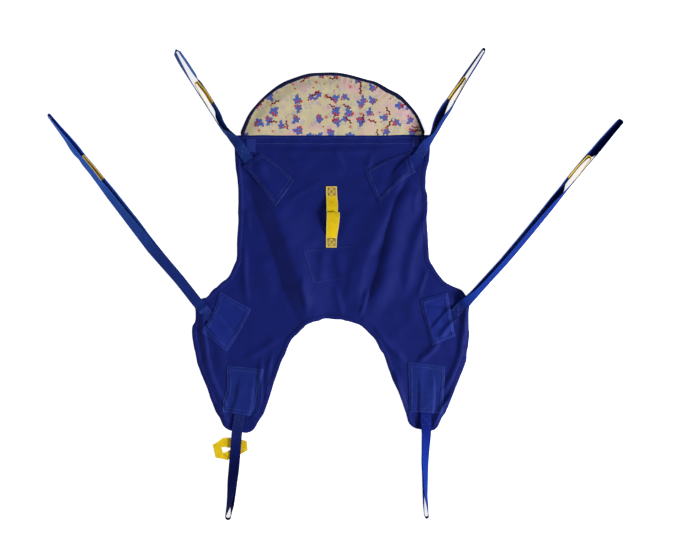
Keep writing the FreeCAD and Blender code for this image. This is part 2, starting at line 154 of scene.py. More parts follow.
# how far points of the cut pattern were pulled in x and y when it was spread (all in mm)
PULLS = [
    (-345, 292, -1, 0), (-343, 246, -4, 0), (-337, 52, 4, 0), (-343, -41, 8, 0), (-356, -173, 12, -2),
    (-372, -195, 12, -11), (-404, -243, -3, -7), (-460, -268, -2, -25), (-492, -295, 8, -13),
    (-499, -345, 11, -6), (-499, -417, -2, 0), (-496, -470, 0, 0), (-466, -557, -5, -2),
    (-415, -681, -8, -1), (-388, -750, -3, 2), (-350, -773, -2, 3), (-300, -773, 4, -5),
    (-247, -673, 18, -1), (-200, -541, 15, -2), (-176, -467, 20, -2), (-120, -397, 17, -8),
    (-51, -366, 1, -10), (-24, -366, 0, 1), (188, -500, 5, 0), (345, 292, 9, 2),
    (343, 246, 13, 0), (338, 122, 2, 0), (337, 60, 10, 0),
    (343, -41, 3, 0), (352, -155, 2, 0), (372, -195, -2, 9), (401, -243, 1, 12), (460, -268, 2, 10),
    (492, -292, 1, 0), (499, -366, -3, 0), (497, -448, -1, 0), (464, -557, 8, 0), (417, -681, 7, -2),
    (388, -745, 0, 0), (350, -773, 4, 2), (300, -773, 5, 10), (247, -673, 11, -1), (201, -541, 4, 0),
    (176, -467, -3, -2), (120, -397, -1, -5), (25, -366, 0, -3), (-229, 141, 4, 6), (229, 141, -6, 9),
    (-392, -373, 9, -5), (392, -373, -3, 6), (-332, -620, 10, -3), (332, -620, 9, 2), (0, 0, 0, 0),
    (0, 200, 0, 0), (0, -240, 0, 0), (-200, -60, 0, 0), (200, -60, 0, 0), (-220, -300, 2, 0),
    (220, -300, 0, 0), (-160, 292, 0, 1), (0, 292, 0, 1), (160, 292, 0, 1), (-287, 370, -8, 5),
    (-250, 410, -3, 7), (-180, 467, -3, 8), (-110, 500, -1, 4), (0, 522, 0, -2), (103, 506, 1, -5),
    (180, 471, 3, 4), (247, 410, 12, 13), (292, 362, 21, 7), (318, 315, 18, 2), (-318, 315, -5, 1),
    (0, 400, 0, 0), (-150, 380, 0, 0), (150, 380, 0, 0), (70, -372, -1, -9), (-85, -380, 8, -10),
]

# soft folds: the line of the crest (x, y), how far it slopes down on its left or lower side and on
# the other side, its height (all in mm); a last value makes the first side a slope with a sharp foot,
# and says how much of it is an even ramp
FOLDS = [
    ([(-236, 96), (-168, -72), (-127, -208), (-92, -338)], 58, 78, 25.0, 0.75),
    ([(286, 112), (226, -80), (190, -215), (146, -322)], 28, 44, 13.5, 0.15),
    ([(226, 76), (168, -38), (124, -140), (106, -330)], 46, 24, 8.0),
    ([(330, -8), (300, -108), (276, -236)], 22, 23, 8.5),
    ([(337, -196), (320, -276)], 9, 8, 3.5),
    ([(308, 96), (300, 20)], 9, 12, 3.0),
    ([(130, -266), (104, -350)], 6, 14, 5.5),
    ([(-314, -110), (-303, -290)], 10, 10, 4.6),
    ([(-102, -226), (-92, -326)], 9, 16, 5.6),
    ([(-34, -128), (-32, -232)], 14, 18, 3.0),
    ([(26, -126), (34, -236)], 15, 20, 3.0),
    ([(-262, 200), (-238, 140), (-196, 86)], 22, 28, 4.6),
    ([(297, 216), (262, 160), (226, 98)], 22, 26, 4.6),
    ([(-304, 26), (-292, -40)], 8, 8, 2.6),
    ([(-240, -150), (-222, -270)], 30, 24, 3.4),
    ([(20, -260), (36, -350)], 12, 12, 3.0),
    ([(70, -190), (64, -300)], 16, 16, 3.0),
    ([(-462, -330), (-450, -500)], 10, 8, 8.0),
    ([(-448, -500), (-422, -590), (-386, -668)], 14, 9, 8.0),
    ([(-414, -430), (-392, -540)], 16, 22, 5.0),
    ([(484, -318), (470, -470)], 9, 12, 9.0),
    ([(468, -470), (446, -545), (420, -610)], 10, 12, 6.5),
    ([(-250, -520), (-262, -700)], 9, 9, 5.0),
    ([(-214, -500), (-236, -640)], 8, 8, 4.5),
    ([(164, -420), (260, -505)], 12, 9, 7.0),
    ([(150, -400), (232, -452)], 10, 10, 3.0),
    ([(316, -516), (386, -462)], 9, 13, 6.5),
    ([(228, -560), (262, -700)], 9, 12, 5.6),
    ([(-300, -500), (-200, -450)], 14, 14, 4.0),
    ([(-180, 240), (180, 238)], 14, 10, 2.6),
    ([(-332, 196), (-322, 20)], 10, 10, 4.4),
    ([(430, -640), (372, -742)], 9, 9, 7.0),
    ([(-410, -676), (-372, -746)], 9, 9, 7.0),
    ([(262, -712), (300, -756)], 9, 9, 6.5),
    ([(-286, -724), (-262, -700)], 9, 9, 5.0),
    ([(-455, -368), (-424, -446)], 8, 16, 4.2),
    ([(352, -325), (392, -334), (442, -352)], 8, 8, 4.0),
    ([(443, -366), (396, -430)], 8, 8, 4.6),
    ([(-120, 190), (40, 160)], 26, 26, 2.4),
    ([(-150, 66), (-30, 128)], 10, 12, 2.2),
    ([(40, 108), (150, 70)], 12, 10, 2.2),
    ([(-160, 236), (-120, 190)], 9, 9, 2.6),
    ([(20, 236), (44, 176)], 9, 9, 2.4),
    ([(150, 226), (128, 178)], 10, 10, 2.6),
    ([(-296, 60), (-330, 118)], 9, 9, 3.0),
]


def ease(value):
    """A smooth step from 0 to 1."""
    value = np.clip(value, 0, 1)
    return value * value * (3 - 2 * value)


def spread(x, y):
    """How far the cloth at x, y was pulled when it was spread on the floor."""
    total = np.full(x.shape, 1e-9)
    shift_x, shift_y = np.zeros(x.shape), np.zeros(x.shape)
    soft = (18 + 26 * ease((y / MM - 290) / 60)) * MM
    for at_x, at_y, dx, dy in np.array(PULLS) * MM:
        weight = ((x - at_x) ** 2 + (y - at_y) ** 2 + soft**2) ** -2
        total += weight
        shift_x += weight * dx
        shift_y += weight * dy
    return shift_x / total, shift_y / total


def waves(x, y, size, seed):
    """Gentle unevenness between -1 and 1, with bumps about as wide as size."""
    points = np.column_stack([x.ravel(), np.broadcast_to(y, x.shape).ravel()]) / size
    values = [noise.noise(Vector((*point, seed))) for point in points]
    return np.array(values).reshape(x.shape)


def rise(x, y):
    """How high the cloth stands off the floor at x, y because of its folds."""
    height = np.zeros(x.shape)
    for line, near, far, crest, *ramp in FOLDS:
        line = np.array(line) * MM
        if abs(line[-1, 1] - line[0, 1]) > abs(line[-1, 0] - line[0, 0]):
            along, beside, marks, places = y, x, line[:, 1], line[:, 0]
        else:
            along, beside, marks, places = x, y, line[:, 0], line[:, 1]
        share = np.clip((along - marks.min()) / np.ptp(marks), -0.3, 1.3)
        at = marks.min() + share * np.ptp(marks)
        curve = np.polyfit(marks, places, len(line) - 1)
        slant = np.polyval(np.polyder(curve), at)
        wander = 3 * MM * np.sin(4.2 * share + 50 * line[0, 0])
        off = (beside - np.polyval(curve, at)) / np.sqrt(1 + slant**2) - wander
        ends = ease((share + 0.2) / 0.4) * ease((1.2 - share) / 0.4)
        reach = np.abs(off) / (np.where(off < 0, near, far) * MM * (0.5 + 0.5 * ends))
        side = np.exp(-(reach**2))
        if ramp:
            slope = ramp[0] * (1 - reach) + (1 - ramp[0]) * np.clip(1 - reach**2, 0, 1) ** 0.75
            side = np.where(off < 0, np.where(reach < 1, slope, 0), side)
        height += crest * MM * ends * side
    height += 2.2 * MM * (waves(x, y, 0.16, 1.7) + 0.35)
    height += 1.9 * MM * waves(x, y, 0.045, 4.1)
    return np.maximum(height, 0)


def lay(points, lift=1.0):
    """Points of the flat pattern moved to where they lie on the floor."""
    shift_x, shift_y = spread(points[:, 0], points[:, 1])
    x, y = points[:, 0] + shift_x, points[:, 1] + shift_y
    return np.column_stack([x, y, points[:, 2] + lift * rise(x, y)])


def outline_of(node):
    """The outer edge of a flat CAD piece seen from above, as an ordered loop of points."""
    mesh = frame["nodes"][node].data
    mesh.calc_loop_triangles()
    corner = [tuple(np.round(np.array(v.co.xy) * 1e5).astype(int)) for v in mesh.vertices]
    edges = set()
    for triangle in mesh.loop_triangles:
        if triangle.normal.z > 0.9:
            a, b, c = (corner[v] for v in triangle.vertices)
            edges |= {(a, b), (b, c), (c, a)}
    following = {a: b for a, b in edges if (b, a) not in edges}
    loops = []
    while following:
        start, point = following.popitem()
        loop = [start]
        while point != start and point in following:
            loop.append(point)
            point = following.pop(point)
        loops.append(np.array(loop) * 1e-5)
    return max(loops, key=lambda loop: np.abs(np.diff(loop, axis=0)).sum())


def is_inside(loop, x, y):
    """Whether points lie inside a closed loop."""
    result = np.zeros(x.shape, bool)
    for (ax, ay), (bx, by) in zip(loop, np.roll(loop, -1, axis=0)):
        if ay != by:
            crosses = (ay > y) != (by > y)
            result ^= crosses & (x < (bx - ax) * (y - ay) / (by - ay) + ax)
    return result


def nearest_on(loop, points):
    """For each point, the nearest point on a closed loop and how far off it is."""
    run = np.roll(loop, -1, axis=0) - loop
    share = ((points[:, None] - loop) * run).sum(2) / np.maximum((run**2).sum(1), 1e-12)
    spots = loop + np.clip(share, 0, 1)[:, :, None] * run
    away = np.linalg.norm(points[:, None] - spots, axis=2)
    best = away.argmin(1)
    rows = np.arange(len(points))
    return spots[rows, best], away[rows, best]


def flat_area(loop):
    """The area inside a closed loop."""
    x, y = loop.T
    return float(abs((x * np.roll(y, -1) - y * np.roll(x, -1)).sum()) / 2)


def chain(pieces, low, high):
    """The edges of neighbouring pieces joined into one loop, without the cut between them."""
    runs = []
    for loop in pieces:
        on_cut = (loop[:, 1] > low) & (loop[:, 1] < high)
        long_step = np.abs(loop[:, 0] - np.roll(loop[:, 0], -1)) > 20 * MM
        lasts = np.nonzero(on_cut & np.roll(on_cut, -1) & long_step)[0]
        for first, last in zip(lasts + 1, np.roll(lasts, -1)):
            runs.append(np.roll(loop, -first, axis=0)[: (last - first) % len(loop) + 1])
    joined = runs.pop(0)
    while runs:
        gaps = [np.linalg.norm(run[0] - joined[-1]) for run in runs]
        joined = np.vstack([joined, runs.pop(int(np.argmin(gaps)))])
    return joined


def edges_of(faces):
    """The directed edges of four-sided faces."""
    return np.vstack([faces[:, [k, (k + 1) % 4]] for k in range(4)])


def fill_grid(loop, cell, row_line):
    """Points and four-sided faces that fill a closed loop, with one row on row_line."""
    low, high = loop.min(0), loop.max(0)
    columns = np.arange(math.floor(low[0] / cell), math.ceil(high[0] / cell) + 1) * cell
    first, last = math.floor((low[1] - row_line) / cell), math.ceil((high[1] - row_line) / cell)
    grid_x, grid_y = np.meshgrid(columns, row_line + np.arange(first, last + 1) * cell)
    points = np.column_stack([grid_x.ravel(), grid_y.ravel()])
    kept = is_inside(loop, points[:, 0], points[:, 1])
    kept[kept] = nearest_on(loop, points[kept])[1] > 0.3 * cell
    index = np.arange(len(points)).reshape(grid_x.shape)
    quads = np.stack([index[:-1, :-1], index[:-1, 1:], index[1:, 1:], index[1:, :-1]], -1).reshape(-1, 4)
    quads = quads[kept[quads].all(1)]
    uses = np.bincount(quads.ravel(), minlength=len(points))
    rim = (uses > 0) & (uses < 4)
    points[rim] = nearest_on(loop, points[rim])[0]
    pairs = edges_of(quads)
    pairs = np.vstack([pairs, pairs[:, ::-1]])
    free = (uses == 4) & (np.abs(points[:, 1] - row_line) > 0.02 * cell)
    free[free] = nearest_on(loop, points[free])[1] < 3.5 * cell
    for _ in range(6):
        total, count = np.zeros(points.shape), np.zeros(len(points))
        np.add.at(total, pairs[:, 0], points[pairs[:, 1]])
        np.add.at(count, pairs[:, 0], 1)
        points[free] = total[free] / count[free, None]
    return points, quads


def new_piece(name, points, faces, material):
    """A mesh object made of points and faces."""
    mesh = bpy.data.meshes.new(name)
    mesh.from_pydata([tuple(p) for p in points], [], [tuple(int(v) for v in face) for face in faces])
    mesh.validate()
    mesh.materials.append(material)
    piece = bpy.data.objects.new(name, mesh)
    bpy.context.scene.collection.objects.link(piece)
    return piece


def select_only(piece):
    """Make a piece the one selected and active object."""
    bpy.ops.object.select_all(action="DESELECT")
    piece.select_set(True)
    bpy.context.view_layer.objects.active = piece


def tidy_faces(piece, angle=50):
    """Turn a piece's faces outwards, shade it smooth and keep where each point lies as a UV map."""
    select_only(piece)
    bpy.ops.object.mode_set(mode="EDIT")
    bpy.ops.mesh.select_all(action="SELECT")
    bpy.ops.mesh.normals_make_consistent(inside=False)
    bpy.ops.object.mode_set(mode="OBJECT")
    bpy.ops.object.shade_smooth_by_angle(angle=math.radians(angle))
    mesh = piece.data
    points, corners = np.empty(len(mesh.vertices) * 3), np.empty(len(mesh.loops), int)
    mesh.vertices.foreach_get("co", points)
    mesh.loops.foreach_get("vertex_index", corners)
    mesh.uv_layers.new(name="lying").data.foreach_set("uv", points.reshape(-1, 3)[corners, :2].ravel())


def thicken(piece, thickness, offset=1.0):
    """Give a sheet its thickness, above it or to both sides of it, and tidy its faces."""
    select_only(piece)
    modifier = piece.modifiers.new("thickness", "SOLIDIFY")
    modifier.thickness = thickness
    modifier.offset = offset
    bpy.ops.object.modifier_apply(modifier=modifier.name)
    tidy_faces(piece)


def fit(piece, slot, *nodes, body="back"):
    """Hide the solids a piece stands for and, unless body is None, fix it to the body it rides; slot is not
    used.
    """
    if nodes:
        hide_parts(*nodes)
    if body:
        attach(piece, body)


def bend_at(piece, body, line, before, after):
    """Bake a piece's placing into its points; it does not bend, and body, line, before and after are not
    used.
    """
    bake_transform(piece)


def stripes(finish, along, pitch):
    """A wave between -1 and 1 along a distance."""
    return finish.calc("SINE", finish.calc("MULTIPLY", along, 2 * math.pi / pitch))


def plain_weave(finish, place, pitch):
    """The relief of plain weave."""
    x, y, _ = finish.node("SeparateXYZ", {0: place})
    return finish.calc("MULTIPLY", stripes(finish, x, pitch), stripes(finish, y, pitch))


def cloudy(finish, place, scale, detail, roughness=0.5):
    """Cloudy unevenness between 0 and 1."""
    inputs = {"Vector": place, "Scale": scale, "Detail": detail, "Roughness": roughness}
    return finish.node("TexNoise", inputs)["Fac"]


def mix(finish, share, first, second):
    """Two colours mixed by a share."""
    return finish.node("Mix", {0: share, 6: first, 7: second}, data_type="RGBA")[2]


def shades(finish, share, colour, low, high):
    """A colour between low and high times its strength."""
    dark, light = ((*(min(part * times, 1) for part in colour), 1) for times in (low, high))
    return mix(finish, share, dark, light)


def cover(finish, colour, height, strength, depth, roughness, specular, more=None):
    """Give a surface its colour, relief and gloss; the material is done."""
    relief = finish.node("Bump", {"Strength": strength, "Distance": depth, "Height": height})[0]
    inputs = {"Base Color": colour, "Normal": relief, "Roughness": roughness, "Specular IOR Level": specular}
    return finish.show(finish.node("BsdfPrincipled", {**inputs, **(more or {})})[0])


def woven_cloth(name, colour, tone=0.24, dotted=False):
    """Fine plain-weave cloth, a little uneven in tone and creased, or mesh with dark dots."""
    cloth = Finish(name)
    place = cloth.node("UVMap", uv_map="lying")[0]
    weave = plain_weave(cloth, place, WEAVE_PITCH)
    creases = cloudy(cloth, place, 160, 4, 0.65)
    shade = cloth.calc("MULTIPLY_ADD", cloudy(cloth, place, 14, 3, 0.6), 2.2 * tone, 0.5 - 1.7 * tone)
    shade = cloth.calc("MULTIPLY_ADD", creases, 1.2 * tone, shade)
    shade = cloth.calc("MULTIPLY_ADD", weave, 0.05, shade)
    if dotted:
        cells = cloth.node("TexVoronoi", {"Vector": place, "Scale": 1 / DOT_PITCH, "Randomness": 0.1})
        dots = cloth.calc("LESS_THAN", cells["Distance"], 0.36)
        shade = cloth.calc("MULTIPLY_ADD", dots, -0.9, shade)
    height = cloth.calc("MULTIPLY_ADD", creases, 3.0, weave)
    height = cloth.calc("MULTIPLY_ADD", cloudy(cloth, place, 900, 2), 0.6, height)
    gloss = cloth.calc("MULTIPLY_ADD", creases, 0.16, 0.54)
    sheen = {"Sheen Weight": 0.02, "Sheen Roughness": 0.45}
    return cover(cloth, shades(cloth, shade, colour, 0.62, 1.38), height, 0.35, 0.3 * MM, gloss, 0.1, sheen)


navy_cloth = woven_cloth("navy_cloth", NAVY)
joints = {joint["name"]: joint for joint in frame["joints"]}
fold_y = joints["left_leg_fold"]["pos_m"][1]
flat_pieces = [outline_of(node) for node in ("back_panel", "left_leg_flap", "right_leg_flap")]
panel_loop = chain(flat_pieces, fold_y - 0.5 * MM, fold_y + 0.5 * MM)
hem_line = panel_loop[:, 1].max()
on_hem = panel_loop[:, 1] > hem_line - 0.1 * MM
cloth_loop = panel_loop.copy()
cloth_loop[on_hem, 1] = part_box("top_hem")[1].y - HEM_OVERLAP

points, quads = fill_grid(cloth_loop, CLOTH_CELL, FLAP_LINE)
middles = points[quads].mean(1)
below = middles[:, 1] < FLAP_LINE
laid_points = lay(np.column_stack([points, np.full(len(points), CLOTH_GAP)]))
for name, body, chosen in (
    ("back_cloth", "back", ~below),
    ("left_leg_cloth", "left_leg", below & (middles[:, 0] < 0)),
    ("right_leg_cloth", "right_leg", below & (middles[:, 0] > 0)),
):
    used, faces = np.unique(quads[chosen], return_inverse=True)
    piece = new_piece(name, laid_points[used], faces.reshape(-1, 4), navy_cloth)
    thicken(piece, CLOTH_THICKNESS)
    cut_area = sum(flat_area(face) for face in points[quads[chosen]])
    tuple(np.ptp(points[used], axis=0))
    if body == "back":
        fit(piece, "navy_cloth", "back_panel")
    else:
        fit(piece, "navy_cloth", f"{body}_flap", body=None)
        bend_at(piece, body, fold_y, LEG_BEND, -LEG_BEND)

# --- edge binding ---
# A navy tape folded over the raw edge of the cloth and sewn down all round, from one end of the
# top hem, round both leg flaps, to the other end. It puckers a little where it goes round curves.

# the tape's section: how far in from its edge, and how high (mm)
TAPE_PROFILE = [
    (17.0, 2.2), (16.5, 2.9), (9.0, 3.1), (3.0, 3.1), (0.8, 2.5), (0.0, 1.6), (0.8, 0.7), (3.0, 0.15),
    (16.5, 0.15), (17.0, 1.0),
]
TAPE_STEP = 4 * MM
TAPE_SEAM = 14.5 * MM
TAPE_TOP = 3.0 * MM
# the middle of the stretch beside the left flap where the tape is gathered
TAPE_GATHER = (-0.435, -0.265)
THREAD_BLUE = (0.020, 0.030, 0.170)
STITCH_LENGTH = 3.9 * MM


def resample(path, step):
    """Points every step or so along an open path."""
    along = np.concatenate([[0], np.cumsum(np.linalg.norm(np.diff(path, axis=0), axis=1))])
    marks = np.linspace(0, along[-1], max(int(round(along[-1] / step)), 2) + 1)
    return np.column_stack([np.interp(marks, along, column) for column in path.T])


def directions(path):
    """The unit direction of a path at each of its points."""
    run = np.gradient(path, axis=0)
    for _ in range(2):
        run[1:-1] = (run[:-2] + 2 * run[1:-1] + run[2:]) / 4
    return run / np.linalg.norm(run, axis=1)[:, None]


def tube(name, rings, material):
    """A closed piece through rings of points, with its ends capped."""
    count, sides = rings.shape[:2]
    index = np.arange(count * sides).reshape(count, sides)
    beside = np.roll(index, -1, axis=1)
    walls = np.stack([index[:-1], beside[:-1], beside[1:], index[1:]], -1).reshape(-1, 4)
    faces = [*walls.tolist(), index[0].tolist(), index[-1, ::-1].tolist()]
    piece = new_piece(name, rings.reshape(-1, 3), faces, material)
    tidy_faces(piece, 60)
    return piece


def thread(name, colour):
    """Twisted polyester sewing thread."""
    yarn = Finish(name)
    twist = cloudy(yarn, yarn.node("TexCoord")["Object"], 2400, 1)
    return cover(yarn, shades(yarn, twist, colour, 0.7, 1.3), twist, 0.4, 0.1 * MM, 0.5, 0.2)


def level_of(height):
    """A flat level as a height function."""
    return lambda x, y: np.full(x.shape, height)


def sew(name, lines, material, height, place=lay, pitch=4.4 * MM, radius=0.42 * MM):
    """Running stitches along lines on the flat pattern, each one short thread of 12 faces."""
    turns = (0.785, 2.356, 3.927, 5.498)
    shape = [(-0.5, 0, -0.9)]
    shape += [(end, math.cos(turn), math.sin(turn)) for end in (-0.28, 0.28) for turn in turns]
    shape += [(0.5, 0, -0.9)]
    one = []
    for i in range(4):
        j = (i + 1) % 4
        one += [(0, 1 + i, 1 + j), (1 + i, 5 + i, 5 + j, 1 + j), (9, 5 + j, 5 + i)]
    points, faces, total = [], [], 0
    for line in lines:
        marks = resample(np.asarray(line, float), pitch)
        run = np.diff(marks, axis=0)
        run /= np.maximum(np.linalg.norm(run, axis=1), 1e-9)[:, None]
        beside = np.column_stack([-run[:, 1], run[:, 0]])
        centres = (marks[:-1] + marks[1:]) / 2
        for along, across, up in shape:
            flat = centres + run * along * STITCH_LENGTH + beside * across * radius
            level = height(flat[:, 0], flat[:, 1]) + (up + 0.35) * radius
            points.append(np.column_stack([flat, level]))
        count = len(centres)
        for face in one:
            faces += [tuple(total + corner * count + k for corner in face) for k in range(count)]
        total += count * len(shape)
    piece = new_piece(name, place(np.vstack(points)), faces, material)
    tidy_faces(piece, 80)
    return piece


navy_thread = thread("navy_thread", THREAD_BLUE)
tape_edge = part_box("back_panel")[0].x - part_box("left_side_binding")[0].x
start = int(np.argmin(np.where(on_hem, panel_loop[:, 0], 9)))
ring_path = resample(np.roll(panel_loop, -start, axis=0), TAPE_STEP)
run = directions(ring_path)
outward = np.column_stack([run[:, 1], -run[:, 0]])
turns = np.nonzero(np.diff((ring_path[:, 1] < FLAP_LINE).astype(int)))[0] + 1
turns = [0, *turns, len(ring_path) - 1]
along = np.arange(len(ring_path)) * TAPE_STEP
gather = np.exp(-((((ring_path - TAPE_GATHER) / (0.06, 0.05)) ** 2).sum(1)))
wobble = waves(along, 0, 0.016, 2.2) * 0.7 * MM + gather * waves(along, 0, 0.020, 7.4) * 3 * MM
parts = ("left_side", "left_leg", "crotch", "right_leg", "right_side")
for part, first, last in zip(parts, turns[:-1], turns[1:]):
    chosen = slice(first, last + 1)
    rings = []
    for inset, level in TAPE_PROFILE:
        off = tape_edge - inset * MM + wobble[chosen] * (1 if inset < 4 else 0.4)
        spot = ring_path[chosen] + outward[chosen] * off[:, None]
        lump = waves(along[chosen], inset * 0.002, 0.011, 5.5) * 0.35 * MM * (level > 2)
        rings.append(lay(np.column_stack([spot, level * MM + lump])))
    tape = tube(f"{part}_edge_tape", np.stack(rings, 1), navy_cloth)
    seam = ring_path[chosen] + outward[chosen] * (tape_edge - TAPE_SEAM)
    stitches = sew(f"{part}_tape_stitches", [seam], navy_thread, level_of(TAPE_TOP))
    on_leg = part.endswith("leg")
    fit(tape, "navy_cloth", f"{part}_binding", body=None if on_leg else "back")
    fit(stitches, "navy_cloth", body=None if on_leg else "back")
    if on_leg:
        bend_at(tape, part, fold_y, LEG_BEND, -LEG_BEND)
        bend_at(stitches, part, fold_y, LEG_BEND, -LEG_BEND)

# --- top hem ---
# The cloth's top edge is turned over into a band 35 mm deep with two rows of stitches. It covers
# the foot of the head section, and lies a little unevenly on it.

HEM_CLOTH = 0.9 * MM
HEM_LEVEL = 2.15 * MM
HEM_TOP = 3.95 * MM
HEM_SEAMS = (8.5 * MM, 29.5 * MM)
HEM_THREAD = (0.06, 0.09, 0.34)
hem_low, hem_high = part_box("top_hem")


def laid_grid(name, columns, rows, material, shape):
    """A grid piece; shape says where the shares u across and v along it lie, and its own UV map."""
    bpy.ops.mesh.primitive_grid_add(x_subdivisions=columns, y_subdivisions=rows, size=1)
    piece = bpy.context.object
    piece.name = name
    mesh = piece.data
    u, v = np.array([vertex.co.xy for vertex in mesh.vertices], float).T + 0.5
    place, chart = shape(u, v)
    mesh.vertices.foreach_set("co", place.ravel())
    if chart is not None:
        corner = np.array([loop.vertex_index for loop in mesh.loops])
        mesh.uv_layers.active.data.foreach_set("uv", chart[corner].ravel())
    mesh.materials.append(material)
    return piece


def hem_shape(u, v):
    """How the hem band lies: it puffs out between its seams and ripples along its edge."""
    x = (2 * u - 1) * (hem_high.x - 1.2 * MM * (1 - v))
    ripple = waves(x, 0, 0.07, 8.8)
    y = hem_low.y - 1 * MM + v * (hem_high.y - hem_low.y + 2.2 * MM + 1.6 * MM * ripple)
    bulge = 1 - np.abs(2 * v - 1) ** 6
    puff = 0.75 * MM * (1 - np.abs(2 * u - 1) ** 40) + 0.35 * MM * waves(x, y, 0.018, 3.3)
    return lay(np.column_stack([x, y, HEM_LEVEL + puff * bulge])), None


hem = laid_grid("top_hem_band", 170, 12, navy_cloth, hem_shape)
thicken(hem, HEM_CLOTH)
fit(hem, "navy_cloth", "top_hem")
steps = np.linspace(hem_low.x + 5 * MM, hem_high.x - 5 * MM, 140)
lines = [np.column_stack([steps, hem_high.y - inset + 0.6 * MM * np.sin(steps * 60)]) for inset in HEM_SEAMS]
hem_thread = thread("hem_thread", HEM_THREAD)
hem_stitches = sew("top_hem_stitches", lines, hem_thread, level_of(HEM_TOP), radius=0.55 * MM)
fit(hem_stitches, "navy_cloth")

# --- head section ---
# An arched pad: navy backing, thin foam and a printed cotton lining, bound together round the
# arch. The binding draws the edge in, so the pad puckers beside it.

HEAD_CELL = 5 * MM
HEAD_DRAPE = 0.35
HEAD_BEND = (-7 * MM, 8 * MM)
BACKING_LEVEL = 0.3 * MM
BACKING_THICKNESS = 0.9 * MM
FOAM_LEVEL = 1.3 * MM
LINING_THICKNESS = 0.6 * MM
FOAM_CROWN = 7.5 * MM
PUCKER = 24 * MM
FOAM_CREAM = (0.72, 0.66, 0.50)
CREAM = (0.62, 0.54, 0.34)
BLUSH = (0.66, 0.44, 0.42)
LAVENDER = (0.33, 0.31, 0.50)
PETAL_BLUE = (0.090, 0.145, 0.50)
PETAL_DARK = (0.020, 0.030, 0.16)
BERRY_RED = (0.50, 0.030, 0.030)
TWIG_RED = (0.17, 0.010, 0.014)
PRINT_SHARPNESS = 1600


def printed_cotton(name):
    """Cream cotton printed with blue flowers, red buds, dark red berry twigs and pale leaf outlines."""
    cotton = Finish(name)
    calc = cotton.calc
    place = cotton.node("UVMap", uv_map="lying")[0]
    blush = calc("MULTIPLY", calc("SUBTRACT", cloudy(cotton, place, 12, 2), 0.5, clamp=True), 7.0, clamp=True)
    base = shades(cotton, cloudy(cotton, place, 45, 3), CREAM, 0.84, 1.12)
    base = mix(cotton, blush, base, (*BLUSH, 1))

    def scattered(spacing, shift, keep):
        """Scattered places: x and y from the nearest one, which is turned, whether it is kept, its size."""
        moved = cotton.node("Mapping", {"Vector": place, "Location": (shift, shift * 0.7, 0)})[0]
        level = cotton.node("VectorMath", {0: moved, 1: (1, 1, 0)}, operation="MULTIPLY")[0]
        inputs = {"Vector": level, "Scale": 1 / spacing, "Randomness": 0.8}
        cells = cotton.node("TexVoronoi", inputs, voronoi_dimensions="2D")
        away = cotton.node("VectorMath", {0: level, 1: cells["Position"]}, operation="SUBTRACT")[0]
        luck, turn, size = cotton.node("SeparateColor", {0: cells["Color"]})
        inputs = {"Vector": away, "Angle": calc("MULTIPLY", turn, 2 * math.pi)}
        turned = cotton.node("VectorRotate", inputs, rotation_type="Z_AXIS")[0]
        dx, dy, _ = cotton.node("SeparateXYZ", {0: turned})
        return dx, dy, calc("LESS_THAN", luck, keep), calc("MULTIPLY_ADD", size, 0.36, 0.82)

    def lobed(spots, colour, reach, lobes=0, depth=0.0, at=(0.0, 0.0), flat=1.0, ring=0.0):
        """A lobed shape printed at the places: at is its middle, ring the width of its line."""
        dx, dy, kept, size = spots
        dx = calc("SUBTRACT", dx, at[0])
        dy = calc("MULTIPLY", calc("SUBTRACT", dy, at[1]), flat)
        length = calc("SQRT", calc("ADD", calc("MULTIPLY", dx, dx), calc("MULTIPLY", dy, dy)))
        edge = reach
        if lobes:
            wave = calc("COSINE", calc("MULTIPLY", calc("ARCTAN2", dy, dx), lobes))
            edge = calc("MULTIPLY_ADD", wave, depth * reach, (1 - depth) * reach)
        edge = calc("MULTIPLY", edge, size)
        inside = calc("MULTIPLY", calc("SUBTRACT", edge, length), PRINT_SHARPNESS, clamp=True)
        if ring:
            hole = calc("SUBTRACT", calc("SUBTRACT", edge, ring), length)
            inside = calc("SUBTRACT", inside, calc("MULTIPLY", hole, PRINT_SHARPNESS, clamp=True))
        return mix(cotton, calc("MULTIPLY", inside, kept), base, (*colour, 1))

    leaves = scattered(0.029, 0.31, 0.7)
    base = lobed(leaves, LAVENDER, 0.0090, 2, 0.45, ring=0.0019)
    base = lobed(leaves, LAVENDER, 0.0050, 3, 0.3, at=(0.006, 0.007), ring=0.0018)
    base = lobed(scattered(0.033, 0.77, 0.6), LAVENDER, 0.0080, 3, 0.35, ring=0.0018)
    flowers = scattered(0.046, 0.0, 0.66)
    base = lobed(flowers, PETAL_DARK, 0.0150, 5, 0.16)
    base = lobed(flowers, PETAL_BLUE, 0.0132, 5, 0.18)
    base = lobed(flowers, PETAL_DARK, 0.0082, 5, 0.30, ring=0.0011)
    base = lobed(flowers, PETAL_DARK, 0.0078, 3, 0.2, at=(-0.012, 0.010))
    base = lobed(flowers, PETAL_BLUE, 0.0062, 3, 0.2, at=(-0.012, 0.010))
    base = lobed(flowers, BERRY_RED, 0.0062, 4, 0.2, at=(0.012, 0.008))
    base = lobed(flowers, BERRY_RED, 0.0042, at=(0.004, -0.002))
    twigs = scattered(0.052, 0.58, 0.5)
    base = lobed(twigs, TWIG_RED, 0.0190, flat=11.0)
    for step, side in ((-1.5, 1), (-0.5, -1), (0.5, 1), (1.5, -1)):
        base = lobed(twigs, TWIG_RED, 0.0036, at=(step * 0.0078, side * 0.0022))
    base = lobed(scattered(0.040, 0.42, 0.34), BERRY_RED, 0.0072, 6, 0.42)
    base = lobed(scattered(0.034, 1.9, 0.3), BERRY_RED, 0.0030)
    creases = cloudy(cotton, place, 120, 4, 0.6)
    height = calc("MULTIPLY_ADD", creases, 3.5, plain_weave(cotton, place, 0.9 * MM))
    return cover(cotton, base, height, 0.3, 0.3 * MM, calc("MULTIPLY_ADD", creases, 0.15, 0.74), 0.2)


